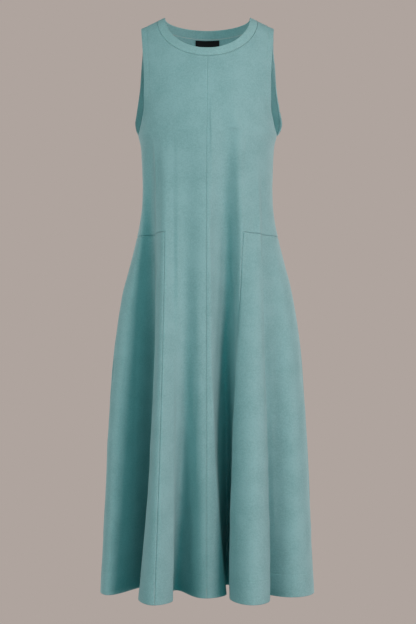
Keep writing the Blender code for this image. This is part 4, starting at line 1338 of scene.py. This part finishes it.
def painted_paper():
    """Seamless studio paper: one even warm grey, with no shadow or shade on it."""
    material = bpy.data.materials.new("studio_paper")
    material.use_nodes = True
    tree = material.node_tree
    tree.nodes.remove(tree.nodes["Principled BSDF"])
    glow = add_node(tree, "ShaderNodeEmission", {"Color": linear("#AFA49E"), "Strength": 1.0})
    tree.links.new(glow.outputs["Emission"], tree.nodes["Material Output"].inputs["Surface"])
    return material


ROOM_RADIUS, ROOM_HEIGHT, ROOM_MIDDLE_Z, FLOOR_Z = 7.0, 9.0, 1.6, -2.6


def add_stage():
    """Floor below the dress and paper all round, which put no light on the cloth."""
    paper = painted_paper()
    bpy.ops.mesh.primitive_cylinder_add(vertices=96, radius=ROOM_RADIUS, depth=ROOM_HEIGHT,
                                        end_fill_type="TRIFAN", location=(0, 0, ROOM_MIDDLE_Z))
    room = bpy.context.object
    room.name = "paper_room"
    bpy.ops.mesh.primitive_circle_add(vertices=96, radius=ROOM_RADIUS - 0.1,
                                      fill_type="TRIFAN", location=(0, 0, FLOOR_Z))
    floor = bpy.context.object
    floor.name = "floor"
    for stage in (room, floor):
        stage.data.materials.append(paper)
        stage.visible_diffuse = stage.visible_glossy = False
        stage.visible_shadow = stage.visible_transmission = False


# ---- the whole


def number_points(grids):
    """All grids' points in one list, with each grid's array of point numbers."""
    numbered, first = [], 0
    for grid in grids:
        rows, cols = grid.points.shape[:2]
        numbered.append((grid, first + np.arange(rows * cols).reshape(rows, cols)))
        first += rows * cols
    return numbered, np.concatenate([g.points.reshape(-1, 3) for g in grids])


def skin_normals(numbered, points):
    """Outward directions, with the two sides joined along the side seams."""
    (front, front_index), (_, back_index) = numbered
    quads = [grid_quads(front_index), grid_quads(back_index)]
    start = front.underarm_row
    for left, right in ((front_index[start:, -1:], back_index[start:, :1]),
                        (back_index[start:, -1:], front_index[start:, :1])):
        quads.append(grid_quads(np.concatenate([left, right], axis=1)))
    return outward(points, np.concatenate(quads))


def main():
    bpy.context.scene.view_settings.view_transform = "Standard"
    even, effort = hem_effort()
    grids = [SideGrid(FRONT, even, effort), SideGrid(BACK, even, effort)]
    numbered, points = number_points(grids)
    normals = skin_normals(numbered, points)
    teal = crepe_knit("teal_crepe_knit", "#8BBCBF", "#71A4A6")
    trim = crepe_knit("teal_crepe_knit_trim", "#8FC1C3", "#77A9AB")
    thread = sewing_thread("teal_sewing_thread", "#7AAAAC")
    ribbon = woven_ribbon("black_woven_ribbon", "#08080A")
    pieces = add_panels(numbered, points, normals, teal)
    bindings, sewn_on = add_armholes(numbered, points, trim, thread)
    pieces.update(bindings)
    pieces["neckband"] = add_neckband(trim)
    pieces["label"] = add_label(ribbon)
    add_camera()
    add_softboxes()
    add_hollow_fill()
    add_world()
    add_stage()


main()
